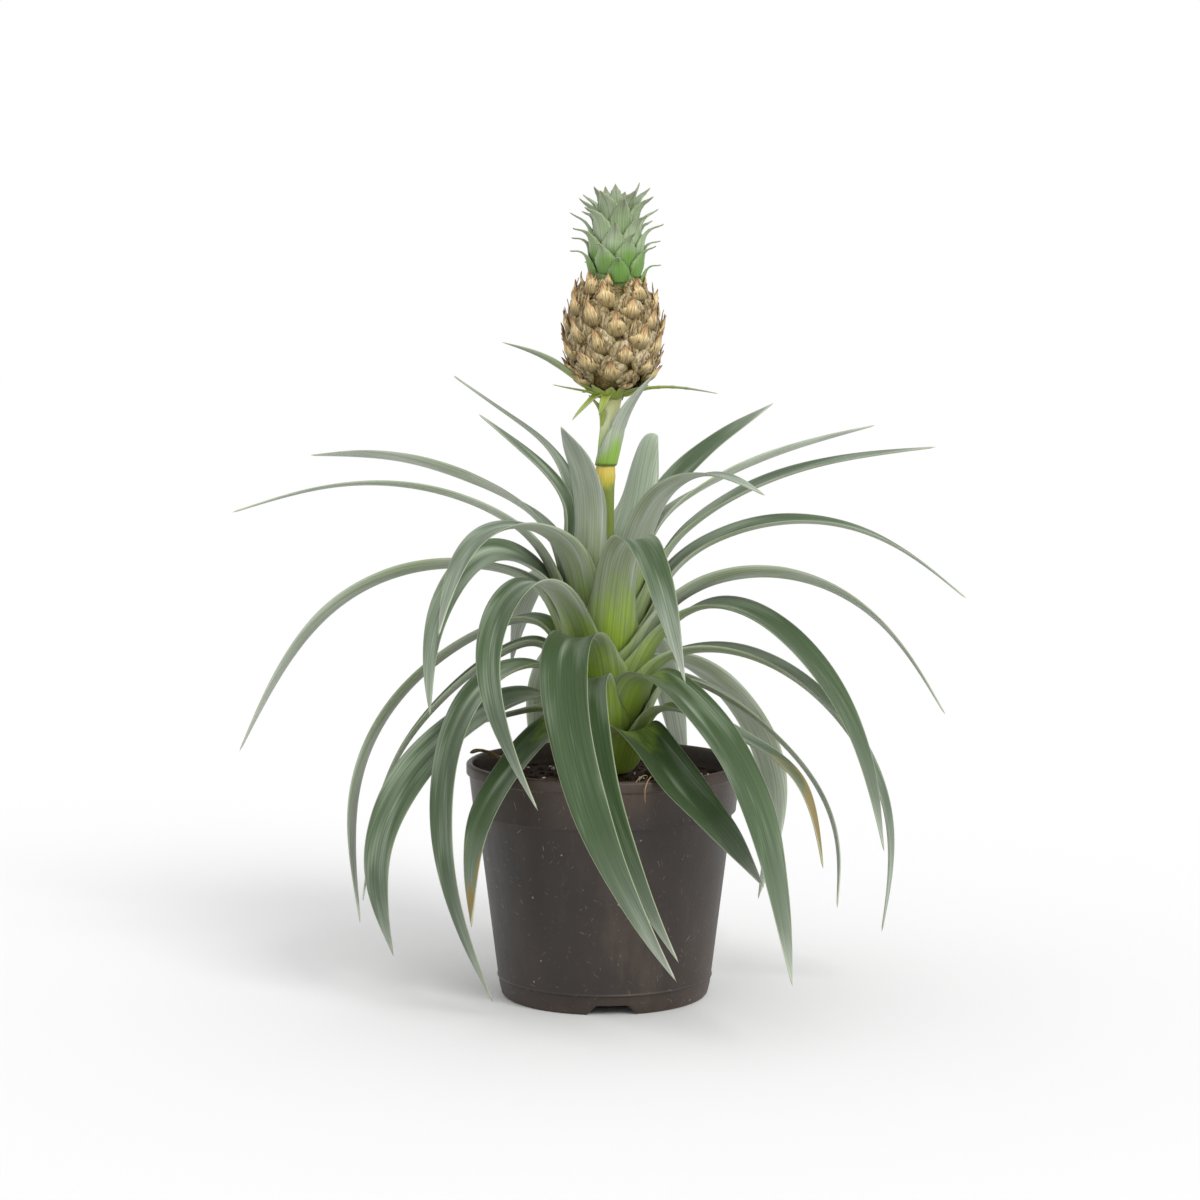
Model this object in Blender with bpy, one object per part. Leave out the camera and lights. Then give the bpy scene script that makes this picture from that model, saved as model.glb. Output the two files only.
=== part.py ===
"""An ornamental pineapple in its nursery pot.

A short stem stands in soil and carries a rosette of long arching leaves, each on its own node. A
stalk goes up from the stem with one leaf and a few bracts, and ends in a small fruit and its crown.
The origin is at the middle of the pot's foot, on the surface it stands on. Lengths in the tables
and constants are in millimetres; reach is measured out from the pot's axis and height up from z = 0.
"""

import math

import bmesh
import bpy
import numpy as np

MM = 0.001
GAP = 0.3

# Pot
POT_HEIGHT = 102.0
LIP_RADIUS = 60.0
LIP_HEIGHT = 5.0
COLLAR_RADIUS = 57.0
LEDGE_HEIGHT = 80.7
LEDGE_STEP = 1.5
FOOT_RADIUS = 45.0
FOOT_WIDTH = 3.2
FOOT_CHAMFER = 1.0
CORNER_HEIGHT = 5.0
CORNER_GROWTH = 1.0
FLOOR_UNDERSIDE = 4.8
FLOOR_THICKNESS = 2.0
WALL = 1.8
NOTCHES = 3
NOTCH_FIRST_BEARING = -86.0
NOTCH_TOP = 13.0
NOTCH_BOTTOM = 22.0
NOTCH_HEIGHT = 4.2
POT_STEPS = 48

# Soil and stem
SOIL_EDGE_HEIGHT = 93.0
SOIL_MIDDLE_HEIGHT = 95.5
STEM_BASE = 70.0
STEM_TOP = 178.0
STEM_RADIUS = 7.7
STEM_TOP_RADIUS = 5.0

# Stalk, fruit and crown
STALK_RADIUS = 4.2
STALK_TOP = 262.0
FRUIT_BASE = 262.5
FRUIT_HEIGHT = 48.0
FRUIT_RADIUS = 21.5
FRUIT_AXIS = 3.6
EYE_COLUMNS = 11
EYE_ROWS = 7
EYE_RELIEF = 1.3
CROWN_BASE = 311.5
CROWN_TOP = 351.0
CROWN_AXIS = 5.0
CROWN_TIERS = 5
CROWN_RADIUS = 19.5
CROWN_COLUMN = 9.0
CROWN_WALL = 1.2
CROWN_POINTS = 8

# Leaves
LEAF_START = 9.0
LEAF_LEAN = 20.0
TOP_LEAN = 12.0
UPRIGHT_FROM = 150.0
UPRIGHT_TO = 175.0
LEAF_THICKNESS = 1.4
EDGE_THICKNESS = 0.6
SHEATH_ANGLE = 26.0
CHANNEL_START = 0.35
CHANNEL_ANGLE = 36.0
TAPER_POWER = 4.5
ROLL_START = 0.15
ROLL_END = 0.5
LEAF_STATIONS = (0.0, 0.09, 0.18, 0.28, 0.39, 0.51, 0.63, 0.75, 0.86, 0.95)
ACROSS = (-1.0, -0.4, 0.4, 1.0)

# One row for each leaf, from the lowest node up: bearing from +X in degrees, node height, length of
# its upright sheath, then (reach, height) of the arch, of the droop and of the tip, how far the tip
# drifts sideways, how far the blade rolls in degrees, and its width.
LEAVES = (
    (294, 97, 20, (62, 103), (92, 82), (109, 64), 22, -8, 23),
    (228, 100, 20, (64, 104), (87, 78), (95, 45), 12, 0, 19),
    (150, 101, 22, (45, 120), (62, 112), (66, 88), 60, 0, 15),
    (332, 103, 20, (73, 118), (103, 103), (121, 72), -40, 0, 14),
    (214, 107, 22, (68, 123), (101, 72), (82, 18), -42, 0, 18),
    (100, 107, 24, (58, 128), (92, 96), (104, 52), 12, 0, 18),
    (5, 109, 27, (76, 111), (95, 70), (92, 48), -62, 0, 16),
    (258, 112, 24, (56, 143), (92, 98), (92, 35), 50, 0, 17),
    (55, 115, 22, (86, 127), (120, 76), (88, 29), -24, 0, 22),
    (112, 117, 24, (64, 140), (98, 104), (106, 44), -20, 0, 19),
    (308, 117, 22, (72, 128), (119, 79), (143, 31), -18, 0, 22),
    (218, 117.5, 24, (56, 145), (88, 84), (66, 6), 8, 0, 20),
    (76, 121, 26, (62, 150), (106, 120), (124, 66), -10, 0, 19),
    (340, 122, 22, (51, 153), (118, 90), (111, 24), 52, 0, 18),
    (180, 125, 26, (84, 114), (99, 76), (103, 46), 30, 0, 17),
    (250, 128, 24, (64, 159), (102, 104), (104, 32), 68, 0, 22),
    (336, 130, 24, (46, 172), (107, 132), (125, 70), 8, -15, 19),
    (162, 130, 30, (80, 139), (104, 84), (91, 36), 58, 0, 17),
    (94, 131, 28, (56, 168), (98, 148), (124, 98), 10, 0, 19),
    (172, 135.5, 42, (56, 187), (117, 169), (157, 106), 22, -15, 18),
    (236, 136, 26, (62, 185), (103, 158), (94, 96), 31, 0, 17),
    (340, 137, 24, (66, 186), (120, 170), (152, 130), -6, 20, 18),
    (72, 138, 30, (52, 180), (96, 166), (128, 122), 8, 0, 18),
    (114, 141.5, 32, (50, 180), (90, 168), (122, 130), -6, 0, 18),
    (195, 142, 40, (50, 194), (72, 174), (80, 126), 14, 0, 17),
    (10, 144, 34, (68, 204), (122, 198), (165, 169), 9, -8, 18),
    (278, 146, 28, (44, 201), (84, 192), (103, 148), 18, 0, 18),
    (96, 148, 30, (50, 193), (88, 187), (123, 154), 6, 0, 17),
    (188, 149, 44, (72, 220), (118, 222), (159, 211), -6, -5, 17),
    (352, 151, 38, (58, 219), (101, 234), (142, 240), -24, -12, 17),
    (78, 154, 32, (46, 196), (80, 210), (118, 202), 6, 0, 16),
    (222, 154, 40, (60, 208), (94, 198), (121, 168), 36, 0, 19),
    (158, 154, 46, (66, 222), (114, 231), (162, 230), -38, -25, 17),
    (305, 156, 26, (38, 217), (78, 230), (114, 223), -2, 0, 18),
    (30, 159.5, 38, (60, 223), (106, 236), (153, 244), 16, 25, 15),
    (103, 160, 28, (36, 207), (66, 209), (98, 198), -4, 0, 15),
    (182, 166, 30, (16, 212), (34, 236), (54, 252), -6, 20, 14),
    (44, 166, 32, (38, 217), (78, 239), (122, 254), 14, -20, 13),
    (238, 166, 26, (17, 212), (36, 236), (58, 249), 15, 0, 18),
    (135, 170, 30, (26, 227), (62, 250), (103, 267), -6, -20, 11),
    (62, 173, 26, (25, 217), (43, 241), (60, 224), -4, 0, 19),
)

# Bracts under the fruit and the one leaf on the stalk: bearing, foot (reach, height), middle, tip,
# sideways drift of the tip and width.
BRACTS = (
    (186, (5.5, 259), (26, 275), (47, 283), -6, 5.0),
    (201, (5.5, 253.5), (16, 260.5), (27, 264), -2, 4.0),
    (228, (5.5, 256.5), (13, 257.5), (22, 250), -2, 4.0),
    (264, (5.5, 258), (8.5, 257.5), (10.5, 252.5), -2, 4.0),
    (345, (6.0, 259), (22, 263.5), (45, 261), 8, 6.0),
    (70, (6.0, 257), (18, 266), (30, 271), 4, 5.0),
    (118, (6.0, 259), (18, 264), (28, 262), -5, 5.0),
)
STALK_LEAF = (318, (5.4, 224), (8.6, 246), (26, 270), 8, 8.5)

# Colours as linear RGB, then roughness
POT_LOOK = ((0.018, 0.015, 0.014), 0.6)
SOIL_LOOK = ((0.03, 0.018, 0.012), 0.95)
STEM_LOOK = ((0.35, 0.45, 0.08), 0.55)
LEAF_LOOK = ((0.09, 0.16, 0.08), 0.5)
BRACT_LOOK = ((0.2, 0.28, 0.08), 0.55)
FRUIT_LOOK = ((0.25, 0.15, 0.06), 0.7)
CROWN_LOOK = ((0.12, 0.24, 0.13), 0.5)


def clear_scene():
    for old in list(bpy.data.objects):
        bpy.data.objects.remove(old, do_unlink=True)


def make_material(name, look):
    colour, roughness = look
    material = bpy.data.materials.new(name)
    material.use_nodes = True
    shader = material.node_tree.nodes["Principled BSDF"]
    shader.inputs["Base Color"].default_value = (*colour, 1)
    shader.inputs["Roughness"].default_value = roughness
    shader.inputs["Metallic"].default_value = 0
    return material


def add_object(name, mesh_builder, look, smooth_angle=40):
    """A new object from a bmesh that is in millimetres, with its faces turned outwards."""
    bmesh.ops.recalc_face_normals(mesh_builder, faces=mesh_builder.faces)
    bmesh.ops.scale(mesh_builder, vec=(MM, MM, MM), verts=mesh_builder.verts)
    mesh = bpy.data.meshes.new(name)
    mesh_builder.to_mesh(mesh)
    mesh_builder.free()
    mesh.shade_smooth()
    mesh.set_sharp_from_angle(angle=math.radians(smooth_angle))
    mesh.materials.append(make_material(name, look))
    thing = bpy.data.objects.new(name, mesh)
    bpy.context.collection.objects.link(thing)
    return thing


def bridge(builder, lower, upper):
    """Quads between two rings of the same number of vertices."""
    count = len(lower)
    for i in range(count):
        j = (i + 1) % count
        builder.faces.new((lower[i], lower[j], upper[j], upper[i]))


def fan(builder, ring, point):
    count = len(ring)
    for i in range(count):
        builder.faces.new((ring[i], ring[(i + 1) % count], point))


def turned(profile, steps, axis_x=0.0):
    """A solid of revolution. The profile is (radius, height) points, and it starts and ends on the axis."""
    builder = bmesh.new()
    first = builder.verts.new((axis_x, 0, profile[0][1]))
    last = builder.verts.new((axis_x, 0, profile[-1][1]))
    rings = []
    for radius, height in profile[1:-1]:
        turns = [2 * math.pi * i / steps for i in range(steps)]
        rings.append(
            [builder.verts.new((axis_x + radius * math.cos(a), radius * math.sin(a), height)) for a in turns]
        )
    fan(builder, rings[0], first)
    for lower, upper in zip(rings, rings[1:]):
        bridge(builder, lower, upper)
    fan(builder, rings[-1], last)
    return builder


def outer_radius(height):
    """Radius of the pot's outside at a height between its rounded foot corner and its collar's top."""
    corner = FOOT_RADIUS + CORNER_GROWTH
    ledge = COLLAR_RADIUS - LEDGE_STEP
    if height <= LEDGE_HEIGHT:
        return corner + (ledge - corner) * (height - CORNER_HEIGHT) / (LEDGE_HEIGHT - CORNER_HEIGHT)
    collar_top = POT_HEIGHT - LIP_HEIGHT
    growth = (LIP_RADIUS - 1 - COLLAR_RADIUS) * (height - LEDGE_HEIGHT) / (collar_top - LEDGE_HEIGHT)
    return COLLAR_RADIUS + growth


def make_pot():
    collar_top = POT_HEIGHT - LIP_HEIGHT
    floor_top = FLOOR_UNDERSIDE + FLOOR_THICKNESS
    profile = (
        (0, FLOOR_UNDERSIDE),
        (FOOT_RADIUS - FOOT_WIDTH, FLOOR_UNDERSIDE),
        (FOOT_RADIUS - FOOT_WIDTH, 0),
        (FOOT_RADIUS - FOOT_CHAMFER, 0),
        (FOOT_RADIUS, FOOT_CHAMFER),
        (outer_radius(CORNER_HEIGHT), CORNER_HEIGHT),
        (outer_radius(LEDGE_HEIGHT), LEDGE_HEIGHT),
        (COLLAR_RADIUS, LEDGE_HEIGHT),
        (outer_radius(collar_top), collar_top),
        (LIP_RADIUS, collar_top),
        (LIP_RADIUS, POT_HEIGHT - 1),
        (LIP_RADIUS - 1, POT_HEIGHT),
        (LIP_RADIUS - 2.4, POT_HEIGHT),
        (outer_radius(collar_top) - WALL, collar_top - 2),
        (COLLAR_RADIUS - WALL, LEDGE_HEIGHT + 2),
        (outer_radius(LEDGE_HEIGHT) - WALL, LEDGE_HEIGHT),
        (outer_radius(floor_top) - WALL, floor_top),
        (0, floor_top),
    )
    pot = add_object("pot", turned(profile, POT_STEPS), POT_LOOK, 30)
    notches = pot.modifiers.new("drain_notches", "BOOLEAN")
    notches.object = make_notch_cutter()


def make_notch_cutter():
    """Three tapered blocks across the foot ring, wider at the bottom, which leave the drain notches."""
    builder = bmesh.new()
    inside = FOOT_RADIUS - 3 * FOOT_WIDTH
    outside = FOOT_RADIUS + 2 * FOOT_WIDTH
    for i in range(NOTCHES):
        bearing = math.radians(NOTCH_FIRST_BEARING + 360 * i / NOTCHES)
        out = np.array((math.cos(bearing), math.sin(bearing), 0))
        along = np.array((-out[1], out[0], 0))
        rings = []
        for reach in (inside, outside):
            corners = (
                (-NOTCH_BOTTOM / 2 - 1, -1),
                (NOTCH_BOTTOM / 2 + 1, -1),
                (NOTCH_TOP / 2, NOTCH_HEIGHT),
                (-NOTCH_TOP / 2, NOTCH_HEIGHT),
            )
            rings.append([builder.verts.new(out * reach + along * a + (0, 0, z)) for a, z in corners])
        bridge(builder, *rings)
        builder.faces.new(rings[0])
        builder.faces.new(rings[1])
    cutter = add_object("notch_cutter", builder, POT_LOOK)
    cutter.hide_render = True
    cutter.display_type = "WIRE"
    return cutter


def make_soil():
    floor_top = FLOOR_UNDERSIDE + FLOOR_THICKNESS
    side = WALL + GAP + 0.2
    hole = STEM_RADIUS + GAP
    profile = (
        (0, floor_top + GAP),
        (outer_radius(floor_top) - side - 0.5, floor_top + GAP),
        (outer_radius(LEDGE_HEIGHT) - side, LEDGE_HEIGHT),
        (COLLAR_RADIUS - side, LEDGE_HEIGHT + 3),
        (outer_radius(SOIL_EDGE_HEIGHT) - side - 0.3, SOIL_EDGE_HEIGHT),
        (30, SOIL_EDGE_HEIGHT + 1.2),
        (hole, SOIL_MIDDLE_HEIGHT),
        (hole, STEM_BASE - GAP),
        (0, STEM_BASE - GAP),
    )
    add_object("soil", turned(profile, 32), SOIL_LOOK)


def make_stem():
    profile = (
        (0, STEM_BASE),
        (STEM_RADIUS - 0.7, STEM_BASE),
        (STEM_RADIUS, STEM_BASE + 8),
        (STEM_RADIUS, STEM_TOP - 14),
        (STEM_TOP_RADIUS, STEM_TOP),
        (0, STEM_TOP),
    )
    add_object("stem", turned(profile, 16), STEM_LOOK)


def stalk_axis(height):
    """The stalk stands on the stem's top and leans a little towards +X under the fruit."""
    rise = (height - STEM_TOP) / (STALK_TOP - STEM_TOP)
    return FRUIT_AXIS * (1.9 * rise**3 - 0.9 * rise**2)


def make_stalk():
    builder = bmesh.new()
    swelling = ((0.0, 1.0), (0.3, 1.0), (0.5, 0.98), (0.56, 1.06), (0.63, 0.94), (0.85, 0.86), (1.0, 1.0))
    rings = []
    for part, scale in swelling:
        height = STEM_TOP + GAP + (STALK_TOP - STEM_TOP - GAP) * part
        radius = STALK_RADIUS * scale
        turns = [2 * math.pi * i / 12 for i in range(12)]
        middle = stalk_axis(height)
        rings.append(
            [builder.verts.new((middle + radius * math.cos(a), radius * math.sin(a), height)) for a in turns]
        )
    for lower, upper in zip(rings, rings[1:]):
        bridge(builder, lower, upper)
    builder.faces.new(rings[0])
    builder.faces.new(rings[-1])
    add_object("stalk", builder, STEM_LOOK)


def fruit_radius(part):
    """Radius of the fruit's body at a part of its height, from its foot at 0 to its top at 1."""
    bulge = math.sin(math.pi * (0.16 + 0.70 * part)) ** 0.6
    return (FRUIT_RADIUS - EYE_RELIEF) * bulge


def make_fruit():
    """Eyes as low pyramids on a diamond lattice that goes round the body."""
    builder = bmesh.new()
    rows = []
    for row in range(EYE_ROWS + 1):
        part = row / EYE_ROWS
        radius = fruit_radius(part) * (0.62 if row in (0, EYE_ROWS) else 1)
        height = FRUIT_BASE + FRUIT_HEIGHT * part
        ring = []
        for column in range(EYE_COLUMNS):
            turn = 2 * math.pi * (column + row % 2 / 2) / EYE_COLUMNS
            ring.append(
                builder.verts.new((FRUIT_AXIS + radius * math.cos(turn), radius * math.sin(turn), height))
            )
        rows.append(ring)
    for row in range(1, EYE_ROWS):
        part = row / EYE_ROWS
        radius = fruit_radius(part) + EYE_RELIEF
        height = FRUIT_BASE + FRUIT_HEIGHT * part
        shift = row % 2
        for column in range(EYE_COLUMNS):
            turn = 2 * math.pi * (column + 0.5 + shift / 2) / EYE_COLUMNS
            peak = builder.verts.new(
                (FRUIT_AXIS + radius * math.cos(turn), radius * math.sin(turn), height + 1.5)
            )
            left = rows[row][column]
            right = rows[row][(column + 1) % EYE_COLUMNS]
            below = rows[row - 1][(column + shift) % EYE_COLUMNS]
            above = rows[row + 1][(column + shift) % EYE_COLUMNS]
            for a, b in ((left, below), (below, right), (right, above), (above, left)):
                builder.faces.new((a, b, peak))
    for row, other in ((0, 1), (EYE_ROWS, EYE_ROWS - 1)):
        shift = row % 2
        for column in range(EYE_COLUMNS):
            nearest = (column + shift) % EYE_COLUMNS
            corners = (rows[row][column], rows[row][(column + 1) % EYE_COLUMNS], rows[other][nearest])
            builder.faces.new(corners)
        builder.faces.new(rows[row])
    add_object("fruit", builder, FRUIT_LOOK, 20)


def make_crown_tier(number):
    """One whorl of the crown: a cup with a solid foot, whose wall rises into pointed leaves."""
    builder = bmesh.new()
    place = number / (CROWN_TIERS - 1)
    foot = CROWN_BASE + (CROWN_TOP - CROWN_BASE - 17) * place
    spread = CROWN_RADIUS * (1 - 0.45 * place**2)
    column = CROWN_COLUMN * (1 - 0.35 * place)
    height = 12 + 5 * place
    turn_start = math.pi * (3 - math.sqrt(5)) * number
    wall = CROWN_WALL / math.cos(math.radians(50))

    def ring(radii, heights):
        verts = []
        for i in range(2 * CROWN_POINTS):
            turn = turn_start + math.pi * i / CROWN_POINTS
            radius = radii[i % 2]
            verts.append(
                builder.verts.new(
                    (CROWN_AXIS + radius * math.cos(turn), radius * math.sin(turn), foot + heights[i % 2])
                )
            )
        return verts

    low = ring((column * 0.7, column * 0.7), (0, 0))
    middle = ring((column + 2.2, column + 1.6), (5, 5))
    points = ring((spread, column + 2.4), (height, 7.5))
    inner_points = ring((spread - 1.2, column + 1.0), (height + 0.3, 8.2))
    inner_middle = ring((column + 2.2 - wall, column + 1.6 - wall), (5.6, 5.6))
    inner_low = ring((column * 0.7, column * 0.7), (3.2, 3.2))
    builder.faces.new(low)
    for lower, upper in zip(
        (low, middle, points, inner_points, inner_middle),
        (middle, points, inner_points, inner_middle, inner_low),
    ):
        bridge(builder, lower, upper)
    builder.faces.new(inner_low)
    add_object(f"crown_{number + 1}", builder, CROWN_LOOK)


def smooth_path(points, start_direction, stations):
    """Points at the given parts of the length of a cubic curve through all the points.

    The curve leaves the first point in start_direction and ends with no bend at the last.
    """
    points = np.array(points, float)
    gaps = np.linalg.norm(np.diff(points, axis=0), axis=1)
    knots = np.concatenate([[0], np.cumsum(gaps)])
    slopes = np.diff(points, axis=0) / gaps[:, None]
    count = len(points)
    matrix = np.zeros((count, count))
    wanted = np.zeros_like(points)
    matrix[0, :2] = 2 * gaps[0], gaps[0]
    wanted[0] = 6 * (slopes[0] - np.array(start_direction))
    matrix[-1, -1] = 1
    for i in range(1, count - 1):
        matrix[i, i - 1 : i + 2] = gaps[i - 1], 2 * (gaps[i - 1] + gaps[i]), gaps[i]
        wanted[i] = 6 * (slopes[i] - slopes[i - 1])
    bends = np.linalg.solve(matrix, wanted)
    path = []
    for station in stations:
        along = station * knots[-1]
        i = min(np.searchsorted(knots, along, side="right") - 1, count - 2)
        before = (knots[i + 1] - along) / gaps[i]
        after = (along - knots[i]) / gaps[i]
        bend = (before**3 - before) * bends[i] + (after**3 - after) * bends[i + 1]
        path.append(before * points[i] + after * points[i + 1] + bend * gaps[i] ** 2 / 6)
    return np.array(path)


def make_blade(name, look, points, start, bearing, drift, roll, width, stations, sheath, channel, thickness, axis_x=0.0):
    """A channelled strip along a path that is given as (reach, height) points on one bearing.

    Near the axis its section is an arc round that axis, so that the blades nest like sheaths.
    """
    turn = math.radians(bearing)
    out = np.array((math.cos(turn), math.sin(turn), 0))
    aside = np.array((-math.sin(turn), math.cos(turn), 0))
    fine = np.linspace(0, 1, 101)
    flat = smooth_path(points, start, fine)
    route = np.outer(flat[:, 0], out) + np.outer(drift * fine**2, aside) + np.outer(flat[:, 1], (0, 0, 1))
    route[:, 0] += axis_x
    directions = np.gradient(route, axis=0)
    directions /= np.linalg.norm(directions, axis=1)[:, None]
    builder = bmesh.new()
    rings = []
    for station in stations:
        i = round(station * 100)
        ahead = directions[i]
        across = aside - ahead * (aside @ ahead)
        across /= np.linalg.norm(across)
        upper_side = np.cross(ahead, across)
        turned_by = math.radians(roll) * min(max((station - ROLL_START) / (ROLL_END - ROLL_START), 0), 1)
        across, upper_side = (
            across * math.cos(turned_by) - upper_side * math.sin(turned_by),
            upper_side * math.cos(turned_by) + across * math.sin(turned_by),
        )
        reach = flat[i, 0]
        half = width / 2 * (1 - station**TAPER_POWER)
        free = min(station / CHANNEL_START, 1)
        arc = math.radians(sheath + (channel - sheath) * free)
        half = min(half, arc * reach)
        radius = half / arc
        sink = free * (1 - math.cos(arc)) / 2
        ring = {1: [], -1: []}
        for part in ACROSS:
            angle = arc * part
            middle = route[i] + across * radius * math.sin(angle)
            middle = middle + upper_side * radius * (1 - math.cos(angle) - sink)
            normal = upper_side * math.cos(angle) - across * math.sin(angle)
            depth = EDGE_THICKNESS if abs(part) == 1 else thickness * (1 - 0.4 * station)
            for side in (1, -1):
                ring[side].append(builder.verts.new(middle + normal * side * depth / 2))
        rings.append(ring[1] + ring[-1][::-1])
    for lower, upper in zip(rings, rings[1:]):
        bridge(builder, lower, upper)
    fan(builder, rings[-1], builder.verts.new(route[-1]))
    builder.faces.new(rings[0])
    add_object(name, builder, look, 60)


def make_leaf(number, row):
    bearing, node, rise, arch, droop, tip, drift, roll, width = row
    upright = min(max((node - UPRIGHT_FROM) / (UPRIGHT_TO - UPRIGHT_FROM), 0), 1)
    lean = math.radians(LEAF_LEAN + (TOP_LEAN - LEAF_LEAN) * upright)
    start = (math.sin(lean), math.cos(lean))
    foot = (LEAF_START, node)
    sheath_top = (LEAF_START + rise * start[0], node + rise * start[1])
    points = (foot, sheath_top, arch, droop, tip)
    make_blade(
        f"leaf_{number:02d}", LEAF_LOOK, points, start, bearing, drift, roll, width,
        LEAF_STATIONS, SHEATH_ANGLE, CHANNEL_ANGLE, LEAF_THICKNESS,
    )


def make_bract(name, row, start):
    bearing, foot, middle, tip, drift, width = row
    make_blade(
        name, BRACT_LOOK, (foot, middle, tip), start, bearing, drift, 0, width,
        (0.0, 0.25, 0.55, 0.85), 50, 35, 0.9, stalk_axis(foot[1]),
    )


clear_scene()
make_pot()
make_soil()
make_stem()
make_stalk()
make_fruit()
for tier in range(CROWN_TIERS):
    make_crown_tier(tier)
for index, leaf_row in enumerate(LEAVES, 1):
    make_leaf(index, leaf_row)
for index, bract_row in enumerate(BRACTS, 1):
    make_bract(f"bract_{index}", bract_row, (0.7, 0.7))
make_bract("stalk_leaf", STALK_LEAF, (0.1, 1.0))
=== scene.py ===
import math
import random

import bmesh
import bpy
import numpy as np
from mathutils import Matrix, Vector, noise


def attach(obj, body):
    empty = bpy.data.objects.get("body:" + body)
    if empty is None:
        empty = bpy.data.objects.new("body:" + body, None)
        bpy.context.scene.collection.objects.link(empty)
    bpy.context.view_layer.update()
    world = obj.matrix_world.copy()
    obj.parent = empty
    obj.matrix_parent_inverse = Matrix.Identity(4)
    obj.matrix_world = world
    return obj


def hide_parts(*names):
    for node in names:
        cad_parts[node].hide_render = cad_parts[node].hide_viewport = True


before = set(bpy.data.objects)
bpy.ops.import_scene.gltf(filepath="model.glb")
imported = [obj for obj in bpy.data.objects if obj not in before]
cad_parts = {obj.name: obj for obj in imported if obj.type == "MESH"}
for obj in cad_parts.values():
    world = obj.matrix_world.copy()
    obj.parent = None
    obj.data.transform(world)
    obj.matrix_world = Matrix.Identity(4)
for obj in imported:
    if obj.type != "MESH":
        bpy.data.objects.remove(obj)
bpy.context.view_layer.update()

mm = 0.001
goldenTurn = math.pi * (3 - math.sqrt(5))  # the turn from one leaf to the next on a growing plant


def linearColour(hexCode):
    parts = [int(hexCode[i:i + 2], 16) / 255 for i in (1, 3, 5)]
    return (*[p / 12.92 if p <= 0.04045 else ((p + 0.055) / 1.055) ** 2.4 for p in parts], 1.0)


# pattern scales from the sizes of what they draw, for coordinates in mm and in metres
def perMm(sizes):
    return [1 / size for size in sizes]


def perMetre(sizes):
    return [1 / (size * mm) for size in sizes]


# a link comes from a socket, or from a node's first live output
def joinSockets(tree, node, links):
    for socket, source in links.items():
        if isinstance(source, bpy.types.Node):
            source = next(output for output in source.outputs if output.enabled)
        tree.links.new(source, node.inputs[socket])


def addNode(tree, kind, settings=None, links=None):
    node = tree.nodes.new("ShaderNode" + kind)
    for key, value in (settings or {}).items():
        if key == "stops":  # a colour ramp's places, and their colours or grey values
            ramp = node.color_ramp
            while len(ramp.elements) < len(value):
                ramp.elements.new(0.5)
            for element, (place, colour) in zip(ramp.elements, value):
                element.position = place
                element.color = linearColour(colour) if isinstance(colour, str) else (*[colour] * 3, 1)
        elif isinstance(key, str) and hasattr(node, key):
            setattr(node, key, value)
        else:
            node.inputs[key].default_value = linearColour(value) if isinstance(value, str) else value
    joinSockets(tree, node, links or {})
    return node


def newMaterial(name, sockets):
    material = bpy.data.materials.new(name)
    material.use_nodes = True
    shader = material.node_tree.nodes["Principled BSDF"]
    for socket, value in sockets.items():
        shader.inputs[socket].default_value = linearColour(value) if isinstance(value, str) else value
    return material, material.node_tree, shader


def finishPiece(name, bm, materials, nodes=()):
    bmesh.ops.recalc_face_normals(bm, faces=bm.faces)
    bmesh.ops.scale(bm, vec=(mm, mm, mm), verts=bm.verts)
    mesh = bpy.data.meshes.new(name)
    bm.to_mesh(mesh)
    bm.free()
    for material in materials:
        mesh.materials.append(material)
    mesh.shade_smooth()
    piece = bpy.data.objects.new(name, mesh)
    bpy.context.collection.objects.link(piece)
    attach(piece, "root")
    if nodes:
        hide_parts(*nodes)


def spinProfile(bm, profile, steps, middleX=0.0, bevel=0.0):
    verts = [bm.verts.new((radius, 0, height)) for radius, height in profile]
    edges = [bm.edges.new(pair) for pair in zip(verts, verts[1:])]
    if bevel:
        bmesh.ops.bevel(
            bm, geom=verts[1:-1] + edges, offset=bevel, segments=2, profile=0.5, affect="VERTICES",
            material=-1)
    bmesh.ops.spin(
        bm, geom=bm.verts[:] + bm.edges[:], cent=(0, 0, 0), axis=(0, 0, 1), angle=2 * math.pi,
        steps=steps, use_merge=True)
    bmesh.ops.remove_doubles(bm, verts=bm.verts, dist=1e-4)
    bmesh.ops.translate(bm, vec=(middleX, 0, 0), verts=bm.verts)


def lengthAlong(points):
    return np.concatenate([[0], np.cumsum(np.linalg.norm(np.diff(points, axis=0), axis=1))])


# a natural cubic curve through (reach, height) points, leaving the first one in a given direction
def smoothPath(points, start, count):
    points = np.array(points, float)
    knots = lengthAlong(points)
    gaps = np.diff(knots)
    slopes = np.diff(points, axis=0) / gaps[:, None]
    size = len(points)
    matrix = np.zeros((size, size))
    wanted = np.zeros_like(points)
    matrix[0, :2] = 2 * gaps[0], gaps[0]
    wanted[0] = 6 * (slopes[0] - np.array(start))
    matrix[-1, -1] = 1
    for i in range(1, size - 1):
        matrix[i, i - 1:i + 2] = gaps[i - 1], 2 * (gaps[i - 1] + gaps[i]), gaps[i]
        wanted[i] = 6 * (slopes[i] - slopes[i - 1])
    bends = np.linalg.solve(matrix, wanted)
    path = []
    for along in np.linspace(0, knots[-1], count):
        i = min(np.searchsorted(knots, along, side="right") - 1, size - 2)
        before = (knots[i + 1] - along) / gaps[i]
        after = (along - knots[i]) / gaps[i]
        bend = (before ** 3 - before) * bends[i] + (after ** 3 - after) * bends[i + 1]
        path.append(before * points[i] + after * points[i + 1] + bend * gaps[i] ** 2 / 6)
    return np.array(path)


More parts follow.
